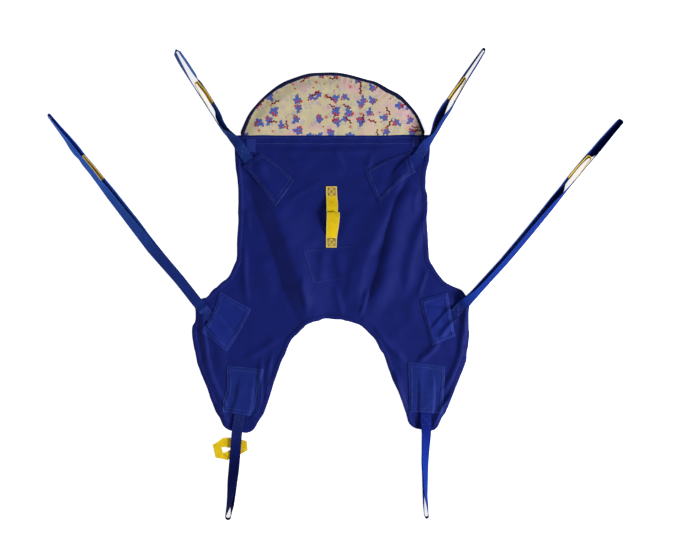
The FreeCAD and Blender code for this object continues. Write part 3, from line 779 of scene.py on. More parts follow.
def foam(name, colour):
    """Open-cell foam with fine pores."""
    sponge = Finish(name)
    pores = sponge.node("TexVoronoi", {"Vector": sponge.node("TexCoord")["Object"], "Scale": 700})["Distance"]
    return cover(sponge, shades(sponge, pores, colour, 0.55, 1), pores, 0.6, 0.6 * MM, 0.9, 0.2)


head_y = joints["head_fold"]["pos_m"][1]
arch = outline_of("head_backing")


def arch_only(loop):
    """The loop's points on the arch, from right to left."""
    chosen = loop[loop[:, 1] > head_y + 1.5 * MM]
    return chosen[np.argsort(np.arctan2(chosen[:, 1] - head_y, chosen[:, 0]))]


arch_path = np.vstack([arch_only(arch), [[-0.9, head_y - 1], [0.9, head_y - 1]]])


def pillow(x, y):
    """The level of the top of the foam at x, y."""
    inset = nearest_on(arch_path, np.column_stack([x, y]))[1]
    crown = ease(inset / (46 * MM)) * (0.72 + 0.28 * ease((y - head_y) / (40 * MM)))
    bearing = np.arctan2(y - head_y + 60 * MM, x) * 0.34
    folds = np.sin(2 * math.pi * bearing / PUCKER + 2.2 * waves(x, y, 0.07, 6.1))
    folds *= np.exp(-inset / (20 * MM)) * ease(inset / (5 * MM))
    lumps = waves(x, y, 0.05, 9.2) * ease(inset / (25 * MM))
    return 1.5 * MM + np.maximum(FOAM_CROWN * crown + 1.5 * MM * folds + 1.6 * MM * lumps, 0.4 * MM)


def lay_head(points):
    """Points of the flat head section where they lie; it follows the folds of the back only a little."""
    return lay(points, HEAD_DRAPE)


def head_layer(loop, height):
    """The points and faces of one arched layer of the head section that lies at a height."""
    points, quads = fill_grid(loop, HEAD_CELL, head_y)
    used, faces = np.unique(quads, return_inverse=True)
    x, y = points[used].T
    return lay_head(np.column_stack([x, y, height(x, y)])), faces.reshape(-1, 4)


lining_print = printed_cotton("printed_cotton")
cream_foam = foam("cream_foam", FOAM_CREAM)
backing = new_piece("head_backing_cloth", *head_layer(arch, level_of(BACKING_LEVEL)), navy_cloth)
thicken(backing, BACKING_THICKNESS)
over_foam = head_layer(arch, lambda x, y: pillow(x, y) + 0.15 * MM)
lining = new_piece("head_lining_cloth", *over_foam, lining_print)
thicken(lining, LINING_THICKNESS)

foam_loop = outline_of("head_padding")
upper, faces = head_layer(foam_loop, pillow)
lower, _ = head_layer(foam_loop, level_of(FOAM_LEVEL))
known = {tuple(edge) for edge in edges_of(faces).tolist()}
rim = [edge for edge in known if edge[::-1] not in known]
count = len(upper)
shell = [*faces.tolist(), *(faces[:, ::-1] + count).tolist()]
shell += [(b, a, count + a, count + b) for a, b in sorted(rim)]
pad = new_piece("head_foam", np.vstack([upper, lower]), shell, cream_foam)
tidy_faces(pad, 60)

HEAD_TAPE_NAVY = (0.0040, 0.0065, 0.042)
HEAD_TAPE_STEP = 3.5 * MM
HEAD_TAPE_TOP = 4.45 * MM
HEAD_SEAM = 9.0 * MM
# the head tape's section: how far in from its edge, and how high (mm)
HEAD_TAPE = [
    (11.5, 2.6), (11.0, 3.9), (7.0, 4.8), (3.0, 4.5), (0.8, 3.3), (0.0, 2.2), (0.8, 0.9), (3.0, 0.1),
    (10.5, 0.1), (11.5, 1.2),
]
rim_path = outline_of("head_binding")
rim_path = resample(arch_only(rim_path[nearest_on(arch, rim_path)[1] > 3.5 * MM]), HEAD_TAPE_STEP)
feet = [[x, head_y - 4 * MM] for x in rim_path[[0, -1], 0]]
rim_path = resample(np.vstack([feet[:1], rim_path, feet[1:]]), HEAD_TAPE_STEP)
run = directions(rim_path)
outward = np.column_stack([run[:, 1], -run[:, 0]])
along = np.arange(len(rim_path)) * HEAD_TAPE_STEP
tape_width = 1.12 + 0.15 * waves(along, 0, 0.030, 1.1) + 0.45 * waves(along, 0, 0.13, 3.9)
inward = -outward * tape_width[:, None]
rings = []
for inset, level in HEAD_TAPE:
    lump = waves(along, inset * 0.002, 0.012, 8.5) * 0.6 * MM * (level > 3)
    rings.append(lay_head(np.column_stack([rim_path + inward * inset * MM, level * MM + lump])))
head_tape = tube("head_edge_tape", np.stack(rings, 1), woven_cloth("head_tape_cloth", HEAD_TAPE_NAVY))
seam = rim_path + inward * HEAD_SEAM
head_stitches = sew("head_tape_stitches", [seam], navy_thread, level_of(HEAD_TAPE_TOP), place=lay_head)
for piece, slot, *nodes in (
    (backing, "navy_cloth", "head_backing"),
    (lining, "printed_cloth", "head_lining"),
    (pad, "foam", "head_padding"),
    (head_tape, "navy_cloth", "head_binding"),
    (head_stitches, "navy_cloth"),
):
    fit(piece, slot, *nodes, body=None)
    bend_at(piece, "head_section", head_y, *HEAD_BEND)

# --- patches over the strap ends ---
# Six navy patches of the same cloth as the sling, a shade bluer, with turned-under edges. Each is
# sewn on with two rows of pale thread over the flat end of a strap, which shows as a raised band.

PATCH_NAVY = (0.0060, 0.0165, 0.178)
DOTTED_NAVY = (0.0075, 0.0215, 0.200)
THREAD_PALE = (0.052, 0.085, 0.29)
PATCH_THICKNESS = 0.8 * MM
PATCH_SEAMS = (3.5 * MM, 13.5 * MM)
PATCH_LEVEL = CLOTH_TOP + 0.1 * MM
STRAP_HEIGHT = 4.9 * MM
STRAP_RAMP = {"shoulder": 64 * MM, "hip": 64 * MM, "leg": 90 * MM}
# a patch's corners as cut (x, y in mm), and how far the sewing pulled each of them
CORNER_TARGETS = {
    "left_shoulder": [(-125, 136, -7, -9), (-269, 237, 16, -6), (-333, 146, 17, 35), (-189, 45, -12, -13)],
    "right_shoulder": [(189, 45, -17, -1), (333, 146, -31, 14), (269, 237, 4, -3), (125, 136, -4, 23)],
    "left_hip": [(-364, -465, -15, -18), (-307, -326, 16, -2), (-420, -281, 24, 22), (-477, -420, 9, 7)],
    "right_hip": [(477, -420, -27, -11), (420, -281, -2, 1), (307, -326, 13, 23), (364, -465, 0, -2)],
    "left_leg": [(-268, -703, -19, -12), (-274, -533, 18, -11), (-396, -537, 18, 7), (-390, -707, 5, 4)],
    "right_leg": [(390, -707, 5, 0), (396, -537, 9, 0), (274, -533, -1, 13), (268, -703, -1, -2)],
}
# how strongly each patch is creased
PATCH_CREASE = {
    "left_shoulder": 0.9, "right_shoulder": 1.0, "left_hip": 1.0, "right_hip": 2.6, "left_leg": 1.2,
    "right_leg": 1.8,
}


def square_corners(node):
    """The four corners of a rectangular CAD piece seen from above, in order round it."""
    loop = outline_of(node)
    before, after = loop - np.roll(loop, 1, axis=0), np.roll(loop, -1, axis=0) - loop
    turn = before[:, 0] * after[:, 1] - before[:, 1] * after[:, 0]
    size = np.linalg.norm(before, axis=1) * np.linalg.norm(after, axis=1)
    chosen = np.argsort(-np.abs(turn / np.maximum(size, 1e-12)))[:4]
    return loop[np.sort(chosen)]


def pulled_corners(node, targets):
    """A patch's corners, each moved as far as the sewing pulled it."""
    corners, targets = square_corners(node), np.array(targets) * MM
    away = np.linalg.norm(corners[:, None] - targets[:, :2], axis=2)
    return corners + targets[away.argmin(1), 2:]


def inset_in(corners, x, y):
    """How far inside a four-sided piece a point lies; negative outside."""
    middle = corners.mean(0)
    inset = np.full(x.shape, 9.0)
    for a, b in zip(corners, np.roll(corners, -1, axis=0)):
        across = np.array([b[1] - a[1], a[0] - b[0]]) / np.linalg.norm(b - a)
        across *= np.sign((middle - a) @ across)
        inset = np.minimum(inset, (x - a[0]) * across[0] + (y - a[1]) * across[1])
    return inset


def patch_place(corners, u, v):
    """A point of a patch from its shares u and v along its sides."""
    u, v = u[:, None], v[:, None]
    near, far = corners[0] * (1 - u) + corners[1] * u, corners[3] * (1 - u) + corners[2] * u
    return near * (1 - v) + far * v


def seam_lines(corners, shares):
    """The rows of stitches round a patch, each from a share of the way out to each corner."""
    ring = corners.mean(0) + (corners - corners.mean(0)) * shares
    return [np.array([a, b]) for a, b in zip(ring, np.roll(ring, -1, axis=0))]


def strap_frame(key):
    """Where a strap leaves the cloth, its direction, and the direction to its left."""
    joint = joints[f"{key}_strap_lift"]
    root, axis = np.array(joint["pos_m"][:2]), joint["axis"]
    ahead = np.array([-axis[1], axis[0]])
    ahead *= np.sign((np.mean(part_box(f"{key}_strap"), axis=0)[:2] - root) @ ahead)
    return root, ahead, np.array([-ahead[1], ahead[0]])


patch_cloth = woven_cloth("patch_cloth", PATCH_NAVY, tone=0.2)
dotted_cloth = woven_cloth("patch_cloth_dotted", DOTTED_NAVY, tone=0.2, dotted=True)
pale_thread = thread("pale_thread", THREAD_PALE)
patch_finish = {"shoulder": navy_cloth, "hip": patch_cloth, "leg": dotted_cloth}
for key, targets in CORNER_TARGETS.items():
    side, kind = key.split("_")
    body, cloth = (f"{side}_leg", f"{side}_leg_cloth") if kind == "leg" else ("back", "back_cloth")
    corners = pulled_corners(f"{key}_patch", targets)
    root, ahead, left = strap_frame(key)
    strap_end = ((square_corners(f"{key}_anchor") - root) @ ahead).min()

    def patch_level(x, y):
        """The level of this patch's underside at x, y, over the strap's end and its own turned edge."""
        off = np.column_stack([x, y]) - root
        ramp = STRAP_RAMP[kind]
        over = ease((off @ ahead - strap_end + ramp) / (ramp - 2 * MM)) * STRAP_HEIGHT
        over *= ease((34 * MM - np.abs(off @ left)) / (12 * MM))
        rim = inset_in(corners, x, y)
        turned_in = 1.0 * MM * ease((14 * MM - rim) / (2.5 * MM)) * (1 + 0.9 * waves(x, y, 0.012, 6.6))
        crease = PATCH_CREASE[key] * MM * (1 + waves(x, y, 0.030, 3.7)) * ease(rim / (12 * MM))
        return PATCH_LEVEL + over + turned_in + crease

    def patch_shape(u, v):
        """Where this patch lies, with its outer edge drawn down onto the cloth."""
        spot = patch_place(corners, u, v)
        drop = 0.5 * MM * (np.maximum(np.abs(u - 0.5), np.abs(v - 0.5)) > 0.499)
        return lay(np.column_stack([spot, patch_level(spot[:, 0], spot[:, 1]) - drop])), None

    patch = laid_grid(f"{key}_patch_cloth", 64, 46, patch_finish[kind], patch_shape)
    thicken(patch, PATCH_THICKNESS)
    fit(patch, "patch_cloth", f"{key}_patch", body=body)
    spans = np.linalg.norm(corners - corners.mean(0), axis=1)[:, None]
    lines = [line for inset in PATCH_SEAMS for line in seam_lines(corners, 1 - 1.414 * inset / spans)]
    stitches = sew(
        f"{key}_patch_stitches", lines, pale_thread, lambda x, y: patch_level(x, y) + 0.85 * MM,
        pitch=4 * MM, radius=0.5 * MM,
    )
    fit(stitches, "patch_cloth", body=body)

# --- lumbar patch ---
# A flat tapered patch of the sling's own cloth over the small of the back, with one row of
# stitches just inside its edge. A crease runs down it.

LUMBAR_THICKNESS = 0.6 * MM
LUMBAR_TOP = CLOTH_TOP + 0.95 * MM
# the share of the way out to each corner where the row of stitches runs
LUMBAR_SEAM = 0.955
# its corners as cut (x, y in mm), and how far the sewing pulled each of them
LUMBAR_TARGETS = [(-94, -115, -7, -6), (94, -115, -8, 14), (58, -229, 0, 7), (-58, -229, -5, -10)]
corners = pulled_corners("lumbar_patch", LUMBAR_TARGETS)


def lumbar_shape(u, v):
    """Where the lumbar patch lies, raised at its turned-in edge."""
    spot = patch_place(corners, u, v)
    turned_in = 0.3 * MM * ease((9 * MM - inset_in(corners, spot[:, 0], spot[:, 1])) / (1.5 * MM))
    return lay(np.column_stack([spot, PATCH_LEVEL + turned_in])), None


lumbar = laid_grid("lumbar_patch_cloth", 50, 34, navy_cloth, lumbar_shape)
thicken(lumbar, LUMBAR_THICKNESS)
fit(lumbar, "navy_cloth", "lumbar_patch")
lines = seam_lines(corners, LUMBAR_SEAM)
stitches = sew("lumbar_stitches", lines, pale_thread, level_of(LUMBAR_TOP), radius=0.4 * MM)
fit(stitches, "navy_cloth")

# --- strap loops ---
# Each loop is one length of blue polyester webbing, 38 mm wide, folded double. Its two ends lie
# flat on each other under a patch, sewn with a boxed cross; further out the two runs turn on edge
# and part, so that the fold at the tip stands open as a loop.

# each strap's colour at the cloth and further out, lighter or darker to stand for how the lamps light its
# runs (painted light and shade), and the distances between which it changes (mm)
WEBBING_BLUES = {
    "left_shoulder": ((0.0100, 0.0270, 0.160), (0.0340, 0.0880, 0.300), 10, 120),
    "right_shoulder": ((0.0095, 0.0220, 0.160), (0.0085, 0.0260, 0.165), -20, 50),
    "left_hip": ((0.0120, 0.0270, 0.178), (0.0370, 0.1200, 0.540), 180, 580),
    "right_hip": ((0.0070, 0.0140, 0.110), (0.0065, 0.0240, 0.195), -20, 30),
    "left_leg": ((0.0105, 0.0190, 0.128), (0.0060, 0.0090, 0.088), -10, 110),
    "right_leg": ((0.0060, 0.0135, 0.160), (0.0040, 0.0240, 0.215), -10, 120),
}
SELVEDGE_PALE = (0.82, 0.66, 0.20, 1)
SELVEDGE = 2.6 * MM
RIB_PITCH = 2.1 * MM
YARN_PITCH = 3.2 * MM
WEBBING_THICKNESS = 2.0 * MM
WEBBING_HALF = 19 * MM
STRAP_BEND = (-8 * MM, 26 * MM)
STRAP_BOX = (-54 * MM, -20 * MM, -15 * MM, 15 * MM)
# at each distance s along a strap: where its lower edge is (y, to the left of the strap's
# direction) and the angle at which it stands on that edge, first for the upper run, then the lower
RUNS = {
    "left_shoulder": [
        (-120, 17, 180, 17, 180), (-40, 17, 177, 17, 177), (0, 15.5, 148, 14, 146), (20, 16.5, 137, 15, 138),
        (40, 17, 120, 14, 124), (60, 20.5, 99, 14, 114), (90, 22.5, 93, 19, 122), (110, 22.5, 93, 18, 129),
        (124, 22, 93, 15, 127), (136, 22, 93, 6, 113), (150, 22, 93, 4.5, 111), (175, 22, 93, 4, 112),
        (225, 22, 93, 1.5, 108), (256, 22, 93, 0, 104), (272, 22, 94, -5.5, 86), (292, 22, 97, -9, 79),
        (340, 22, 104, -9, 79), (370, 20.5, 107, -8, 79), (386, 18.5, 107, -7, 81),
    ],
    "right_shoulder": [
        (-120, -17, 0, -17, 0), (-40, -17, 3, -17, 3), (0, -12, 42, -11, 40), (25, -11.5, 67, -9, 65),
        (50, -14, 73, -4, 67), (75, -16.5, 70, -4, 59), (100, -18, 71, -6, 51), (125, -19, 73, -7, 47),
        (145, -19.5, 79, -2, 56), (165, -18, 82, 2, 67), (180, -16.5, 84, 4, 73), (200, -15, 86, 4, 74),
        (250, -13, 86, 1.5, 74), (282, -12.5, 84, 5, 81), (350, -12.5, 83, 2, 83), (392, -11, 85, 0, 85),
    ],
    "left_hip": [
        (-120, 17, 180, 17, 180), (0, 16, 180, 16, 180), (100, 18, 178, 18, 178), (200, 22.5, 158, 20, 170),
        (250, 25, 157, 17, 157), (300, 23.5, 154, 14, 150), (350, 22, 146, 6, 137), (400, 20.5, 139, 0, 126),
        (500, 18, 133, -3, 122), (550, 15, 123, -3.5, 119), (600, 13, 122, -3, 120),
        (645, 13.5, 121, -2, 118), (666, 10.5, 114, -2, 118), (690, 14, 120, -2, 120),
        (715, 13, 119, -1.5, 120), (750, 8, 110, -1, 118), (800, 5, 104, -1, 112),
        (850, 2.5, 99, -2.5, 107),
    ],
    "right_hip": [
        (-120, -20, 0, -20, 0), (-20, -20, 4, -20, 4), (20, -21, 34, -18, 36), (50, -21.5, 50, -16, 47),
        (100, -23, 57, -13, 56), (200, -27, 57, -13, 62), (300, -27.5, 57, -12, 63), (400, -26, 59, -11, 62),
        (440, -25, 62, -13, 57), (480, -24, 66, -16, 49), (516, -22, 75, -17.5, 46), (536, -21, 78, -13, 54),
        (556, -20.5, 81, -1, 71), (600, -20, 85, 1.5, 73), (650, -18.5, 86, 4, 77), (678, -18.5, 87, 2, 74),
        (702, -18.5, 88, -16.8, 44), (750, -17.5, 88, -16.2, 45), (800, -16, 88, -14.9, 51),
        (852, -15, 89, -13.9, 57),
    ],
    "left_leg": [
        (-130, -19, 0, -19, 0), (0, -19, 0, -19, 0), (60, -18, 5, -18, 4), (110, -17, 14, -16, 12),
        (180, -15, 36, -9, 38), (240, -9.5, 56, 0, 58), (268, -8, 66, 5, 68), (285, -8, 76, 9, 80),
        (305, -8, 86, 11, 86),
    ],
    "right_leg": [
        (-130, 21, 179, 21, 179), (-40, 21, 176, 21, 176), (5, 20, 156, 20, 156), (75, 16, 136, 15, 136),
        (144, 13, 122, 4, 112), (236, 11, 108, -1, 100), (260, 13, 101, -1, 98),
        (290, 14.5, 95, -1, 93), (302, 14, 91, 0, 91),
    ],
}
# how far out a strap stays raised clear of the edge binding, or of the loop below it (mm)
CLEAR_TO = {"left_leg": (95, 160)}
CLEAR_EDGE = (12, 82)


def webbing(name, colour, half, pale=0.0, painted_light=None):
    """Ribbed webbing. Its pattern follows the strap by its UV map: u runs across it and v along it."""
    strap = Finish(name)
    across, along, _ = strap.node("SeparateXYZ", {0: strap.node("UVMap", uv_map="UVMap")[0]})
    place = strap.node("TexCoord")["Object"]
    off = strap.calc("ABSOLUTE", across)
    ribs = stripes(strap, strap.calc("MULTIPLY_ADD", off, 1.2, along), RIB_PITCH)
    selvedge = strap.calc("MULTIPLY", strap.calc("SUBTRACT", off, half - SELVEDGE), 900, clamp=True)
    fuzz = cloudy(strap, place, 500, 1)
    shade = strap.calc("MULTIPLY", cloudy(strap, place, 38, 4, 0.65), 0.8)
    for part, weight in ((ribs, 0.08), (fuzz, 0.2), (selvedge, 0.1)):
        shade = strap.calc("MULTIPLY_ADD", part, weight, shade)
    colours = shades(strap, shade, colour, 0.6, 1.4)
    # painted light and shade: the colour shifts along the strap, to stand for how the lamps light its runs
    if painted_light:
        far_colour, ahead, first, last = painted_light
        out = strap.node("VectorMath", {0: place, 1: (*ahead, 0)}, operation="DOT_PRODUCT")["Value"]
        share = strap.calc("DIVIDE", strap.calc("SUBTRACT", out, first), last - first, clamp=True)
        colours = mix(strap, share, colours, shades(strap, shade, far_colour, 0.6, 1.4))
    if pale:
        colours = mix(strap, strap.calc("MULTIPLY", selvedge, pale), colours, SELVEDGE_PALE)
    height = strap.calc("MULTIPLY_ADD", stripes(strap, across, YARN_PITCH), 0.5, ribs)
    height = strap.calc("MULTIPLY_ADD", fuzz, 0.6, height)
    return cover(strap, colours, height, 0.4, 0.3 * MM, strap.calc("MULTIPLY_ADD", fuzz, 0.15, 0.5), 0.01)


def smooth_table(rows, step=4.0):
    """A table's values at even distances, with its corners rounded."""
    table = np.array(rows, float).T
    marks = np.arange(table[0, 0], table[0, -1] + step, step)
    values = np.array([np.interp(marks, table[0], column) for column in table[1:]])
    for _ in range(3):
        values[:, 1:-1] = (values[:, :-2] + 2 * values[:, 1:-1] + values[:, 2:]) / 4
    return marks * MM, *values


def ribbon(name, centres, across, material, half=WEBBING_HALF, columns=8):
    """A strap along a line of centres, with its width direction at each, thickened and smooth."""
    along = np.concatenate([[0], np.cumsum(np.linalg.norm(np.diff(centres, axis=0), axis=1))])

    def shape(u, v):
        """Where the strap's points lie, and how far across and along it each one is."""
        row = np.rint(v * (len(centres) - 1)).astype(int)
        off = (2 * u - 1) * half
        return centres[row] + across[row] * off[:, None], np.column_stack([off, along[row]])

    strap = laid_grid(name, columns, len(centres) - 1, material, shape)
    thicken(strap, WEBBING_THICKNESS, 0.0)
    return strap


def turn_back(upper, lower, ahead):
    """A strap's centres and width directions out along its upper run, round the fold and back."""
    (up, up_width), (low, low_width) = upper, lower
    middle, reach = (up[-1] + low[-1]) / 2, (up[-1] - low[-1]) / 2
    turn = np.linspace(0, math.pi, 11)[1:-1, None]
    bend = middle + reach * np.cos(turn) + ahead * np.linalg.norm(reach) * np.sin(turn)
    share = (1 - np.cos(turn)) / 2
    width = up_width[-1] * (1 - share) + low_width[-1] * share
    width /= np.linalg.norm(width, axis=1)[:, None]
    return np.vstack([up, bend, low[::-1]]), np.vstack([up_width, width, low_width[::-1]])


def seat(points, s, root):
    """Strap points moved with the cloth where they lie on it, and let go beyond its edge."""
    forward = (points[-1, :2] - root) / np.linalg.norm(points[-1, :2] - root)
    base = points[:, :2] - np.maximum(s, 0)[:, None] * forward
    shift = np.column_stack(spread(base[:, 0], base[:, 1]))
    near = s < 0.06
    over = np.zeros(len(points))
    over[near] = rise(*(points[near, :2] + shift[near]).T)
    return points + np.column_stack([shift * (1 - ease(s / 0.12))[:, None], over * (1 - ease(s / 0.05))])


def on_strap(s, centres, width, forward):
    """A placing function for stitches: (distance, offset, height) on a run's upper face."""
    normal = np.cross(width, forward)
    normal *= np.sign(normal[:, 2:])

    def place(points):
        """Where the stitches' points lie on the strap."""
        out, off, up = points.T
        middle, across, normals = (
            np.column_stack([np.interp(out, s, column) for column in values.T])
            for values in (centres, width, normal)
        )
        return middle + across * off[:, None] + normals * (up + WEBBING_THICKNESS / 2)[:, None]

    return place


def boxed_cross(x0, x1, y0, y1):
    """The lines of a boxed cross, with its ends gone over twice."""
    a, b, c, d = (x0, y0), (x0, y1), (x1, y1), (x1, y0)
    return [np.array(pair) for pair in ((a, b), (b, c), (c, d), (d, a), (a, c), (b, d), (a, b), (c, d))]


strap_runs = {}
for key, rows in RUNS.items():
    side, kind = key.split("_")
    body = f"{side}_leg" if kind == "leg" else "back"
    root, ahead, left = strap_frame(key)
    forward = np.array([*ahead, 0])
    s, *values = smooth_table(rows)
    kept, landed = CLEAR_TO.get(key, CLEAR_EDGE)
    lift = CLOTH_TOP + 0.15 * MM + 1.1 * MM * ease((s + 0.03) / 0.02)
    lift = lift * (1 - ease((s / MM - kept) / (landed - kept))) + 0.2 * MM
    runs = []
    for edge, angle, above in ((*values[:2], WEBBING_THICKNESS + 0.25 * MM), (*values[2:], 0)):
        across, up = np.cos(np.radians(angle)), np.sin(np.radians(angle))
        height = WEBBING_HALF * up + (WEBBING_THICKNESS / 2 + above) * np.abs(across) + lift
        offset = edge * MM + WEBBING_HALF * across
        spot = root + s[:, None] * ahead + offset[:, None] * left
        centres = seat(np.column_stack([spot, height]), s, root)
        runs.append((centres, np.column_stack([across[:, None] * left, up])))
    strap_runs[key] = s, runs, forward
    centres, width = turn_back(*runs, forward)
    # painted light and shade: near and far colours stand for how the lamps light this strap
    colour, far_colour, *changes = WEBBING_BLUES[key]
    painted_light = (far_colour, ahead, *(float(root @ ahead) + change * MM for change in changes))
    finish = webbing(f"{key}_webbing", colour, WEBBING_HALF, painted_light=painted_light)
    strap = ribbon(f"{key}_strap_webbing", centres, width, finish)
    fit(strap, "blue_webbing", f"{key}_strap", f"{key}_anchor", body=None)
    start, end = ((*(root + ahead * reach), 0) for reach in STRAP_BEND)
    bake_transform(strap)
    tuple(start)
    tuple(end)
    top, box = on_strap(s, *runs[0], forward), boxed_cross(*STRAP_BOX)
    stitches = sew(f"{key}_box_stitches", box, pale_thread, level_of(0.0), place=top, pitch=3.4 * MM)
    fit(stitches, "blue_webbing", body=body)

# --- inner loops ---
# Each shoulder and hip strap has a short loop of yellow webbing, 31 mm wide, sewn between its two
# runs. It lines both of them and arches across at its outer end: the nearer place to hook on.

WEBBING_YELLOW = (0.86, 0.53, 0.012)
# a darker, duller yellow than that of the crossing loop and handle
DULL_YELLOW = (0.64, 0.45, 0.060)
INNER_HALF = 15.5 * MM
INNER_GAP = 3.6 * MM
# where each loop starts and ends along its strap, and how far it bows from it (mm)
INNER_SPANS = {
    "left_shoulder": (167, 262, 5.0), "right_shoulder": (177, 276, 4.0),
    "left_hip": (553, 664, 2.0), "right_hip": (577, 685, 3.0),
}

dull_yellow = webbing("dull_loop_webbing", DULL_YELLOW, INNER_HALF, pale=0.35)
for key, (first, last, bow) in INNER_SPANS.items():
    s, (upper, lower), forward = strap_runs[key]
    marks = np.arange(first, last - 4, 4.0) * MM

    def on_run(values):
        """A run's values at the inner loop's own distances."""
        return np.column_stack([np.interp(marks, s, column) for column in values.T])

    share = ease((marks - marks[0]) / (marks[-1] - marks[0]))
    runs = []
    for (own, own_width), (other, _) in ((upper, lower), (lower, upper)):
        centre, width, facing = on_run(own), on_run(own_width), on_run(other)
        normal = np.cross(width, forward)
        normal /= np.linalg.norm(normal, axis=1)[:, None]
        gap = (normal * (facing - centre)).sum(1)
        room = np.clip((np.abs(gap) - INNER_GAP) / 2, 0.1 * MM, WEBBING_THICKNESS + 0.15 * MM)
        room += bow * MM * share**3 * np.clip(np.abs(gap) / 0.012 - 0.6, 0, 1)
        runs.append((centre + normal * (np.sign(gap) * room)[:, None] + width * INNER_GAP, width))
    centres, width = turn_back(*runs, forward)
    loop = ribbon(f"{key}_inner_webbing", centres, width, dull_yellow, half=INNER_HALF, columns=6)
    fit(loop, "yellow_webbing", f"{key}_inner_loop", body=f"{key}_loop")

# --- crossing loop ---
# A loop of soft yellow webbing runs over the left leg strap's back and takes the other leg strap
# through it. It lies flat, folded over on itself at each of its corners.

CROSSING_THICKNESS = 1.4 * MM
# each stretch of the loop between two folds: its corners (x, y in mm) and their heights
CROSSING_STRETCHES = [
    ([(-397, -830), (-426, -821), (-387, -793), (-385, -829)], (2.6, 3.0, 1.4, 1.4)),
    ([(-385, -829), (-387, -793), (-354, -795), (-358, -831)], (1.4, 1.4, 0.9, 0.9)),
    ([(-358, -831), (-354, -795), (-303, -805), (-299, -841)], (0.9, 0.9, 2.6, 2.6)),
    ([(-394, -825), (-427, -816), (-416, -866), (-388, -848)], (4.5, 4.7, 4.2, 4.0)),
    ([(-388, -848), (-416, -866), (-370, -875), (-366, -866)], (4.0, 4.2, 3.0, 3.0)),
    ([(-386, -849), (-366, -872), (-340, -862), (-344, -828)], (5.4, 4.4, 0.9, 0.9)),
    ([(-344, -862), (-340, -828), (-300, -840), (-319, -851)], (0.9, 0.8, 1.2, 1.0)),
]


def flat_strip(name, corners, levels, material):
    """A four-sided piece of webbing lying flat, given by its corners and their heights in mm."""
    corners = np.column_stack([corners, levels]) * MM
    width, length = (np.linalg.norm(corners[k, :2] - corners[0, :2]) for k in (1, 3))

    def shape(u, v):
        """Where the strip's points lie, and how far across and along it each one is."""
        return patch_place(corners, u, v), np.column_stack([(u - 0.5) * width, v * length])

    return laid_grid(name, 7, 9, material, shape)


yellow_webbing = webbing("loop_webbing", WEBBING_YELLOW, INNER_HALF, pale=0.5)
pieces = []
for number, (corners, levels) in enumerate(CROSSING_STRETCHES):
    strip = flat_strip(f"crossing_stretch_{number}", corners, levels, yellow_webbing)
    thicken(strip, CROSSING_THICKNESS, 0.0)
    pieces.append(strip)
select_only(pieces[0])
for piece in pieces:
    piece.select_set(True)
bpy.ops.object.join()
crossing = bpy.context.object
crossing.name = "crossing_loop_webbing"
fit(crossing, "yellow_webbing", "crossing_loop", body="left_leg_loop")

# --- handle ---
# A pull handle of yellow webbing on the back: two lengths, each sewn down flat at its outer end
# with a boxed cross of brown thread. They rise and meet in the middle, one tucked under the other.

# along each length, from its sewn end: y, left edge x, right edge x and height of its middle (mm)
HANDLE_UPPER = [
    (110, -17.5, 21, 3.4), (100, -17.5, 21, 3.4), (84, -17.5, 22, 3.4), (72, -17, 22.5, 4.0),
    (60, -16.5, 24, 6.0), (46, -16, 25.5, 9.5), (34, -16, 25.5, 12.5), (24, -16, 25, 14), (14, -16, 24, 14),
    (6, -15, 23, 13.5),
]
HANDLE_LOWER = [
    (-110, -17.5, 20, 3.4), (-100, -17.5, 20.5, 3.4), (-84, -17.5, 21, 3.4), (-72, -17.5, 22, 4.2),
    (-58, -17, 24, 8.5), (-40, -16.5, 27, 15), (-20, -16, 30, 20), (-2, -15.5, 31.5, 22.5),
    (10, -15, 31.5, 22.5), (16, -14.5, 31, 21.5),
]
HANDLE_HALF = 19.5 * MM
# painted light: the flat sewn ends are tinted paler than the rising middle, between these distances from it,
# to stand for how the lamps light them
HANDLE_PALE = (0.70, 0.50, 0.11)
HANDLE_PAINTED_LIGHT_SPAN = (68 * MM, 84 * MM)
HANDLE_BEND = (75 * MM, 45 * MM, 3 * MM)
HANDLE_BOX = (-10 * MM, 15 * MM, 78 * MM, 104 * MM)
THREAD_BROWN = (0.040, 0.016, 0.003)

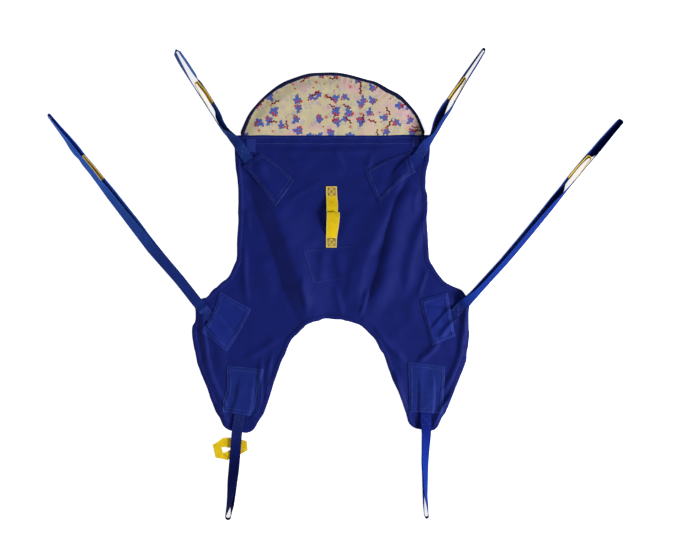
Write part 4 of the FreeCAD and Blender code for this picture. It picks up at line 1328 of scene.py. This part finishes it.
brown_thread = thread("brown_thread", THREAD_BROWN)
for part, sign, table, lean, nodes in (
    ("upper", 1, HANDLE_UPPER, -0.3, ["handle_upper_end"]),
    ("lower", -1, HANDLE_LOWER, 1.0, ["handle_lower_end", "handle_grip"]),
):
    y, left_x, right_x, height = np.array(table, float).T * MM
    path = resample(np.column_stack([(left_x + right_x) / 2, y, height]), 3.5 * MM)
    for _ in range(2):
        path[1:-1] = (path[:-2] + 2 * path[1:-1] + path[2:]) / 4
    path[:, 2] += 0.4 * MM + rise(path[:, 0], path[:, 1])
    order = np.argsort(y)
    share = np.interp(path[:, 1], y[order], (right_x - left_x)[order] / 2) / HANDLE_HALF
    tilt = np.interp(np.abs(path[:, 1]), (0, 0.05, 0.075), (0.12, 0.08, 0.0)) * lean
    across = np.column_stack([np.cos(tilt), tilt * 0, np.sin(tilt)]) * share[:, None]
    painted_light = (HANDLE_PALE, (0, sign), *HANDLE_PAINTED_LIGHT_SPAN)
    finish = webbing(f"handle_{part}_cloth", WEBBING_YELLOW, HANDLE_HALF, pale=0.75, painted_light=painted_light)
    grip = ribbon(f"handle_{part}_webbing", path, across, finish, half=HANDLE_HALF)
    fit(grip, "yellow_webbing", *nodes, body=None)
    sewn, free, level = HANDLE_BEND
    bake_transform(grip)
    box_left, box_right, box_near, box_far = HANDLE_BOX
    box = boxed_cross(box_left, box_right, sign * box_near, sign * box_far)
    level = level_of(path[: len(path) // 4, 2].mean() + 0.95 * MM)
    stitches = sew(
        f"handle_{part}_stitches", box, brown_thread, level, place=np.array, pitch=2.6 * MM,
        radius=0.85 * MM,
    )
    fit(stitches, "yellow_webbing")

# --- corner tabs ---
# Two short tabs of the blue webbing, each folded over and lying flat on the cloth. They are sewn
# into the top hem, one beside each side edge.

TAB_BLUE = (0.018, 0.034, 0.215)
TAB_HALF = 15 * MM
TAB_THICKNESS = 1.6 * MM
# the corners of each tab (x, y in mm) and their heights
TAB_PLACES = {
    "left": ([(-304, 234), (-272, 234), (-271, 280), (-303, 282)], (3.8, 3.8, 5.8, 5.8)),
    "right": ([(292, 252), (317, 253), (316, 289), (293, 288)], (3.8, 3.8, 5.8, 5.8)),
}

tab_webbing = webbing("tab_webbing", TAB_BLUE, TAB_HALF)
for side, (corners, levels) in TAB_PLACES.items():
    tab = flat_strip(f"{side}_corner_webbing", corners, levels, tab_webbing)
    thicken(tab, TAB_THICKNESS)
    fit(tab, "blue_webbing", f"{side}_corner_tab")
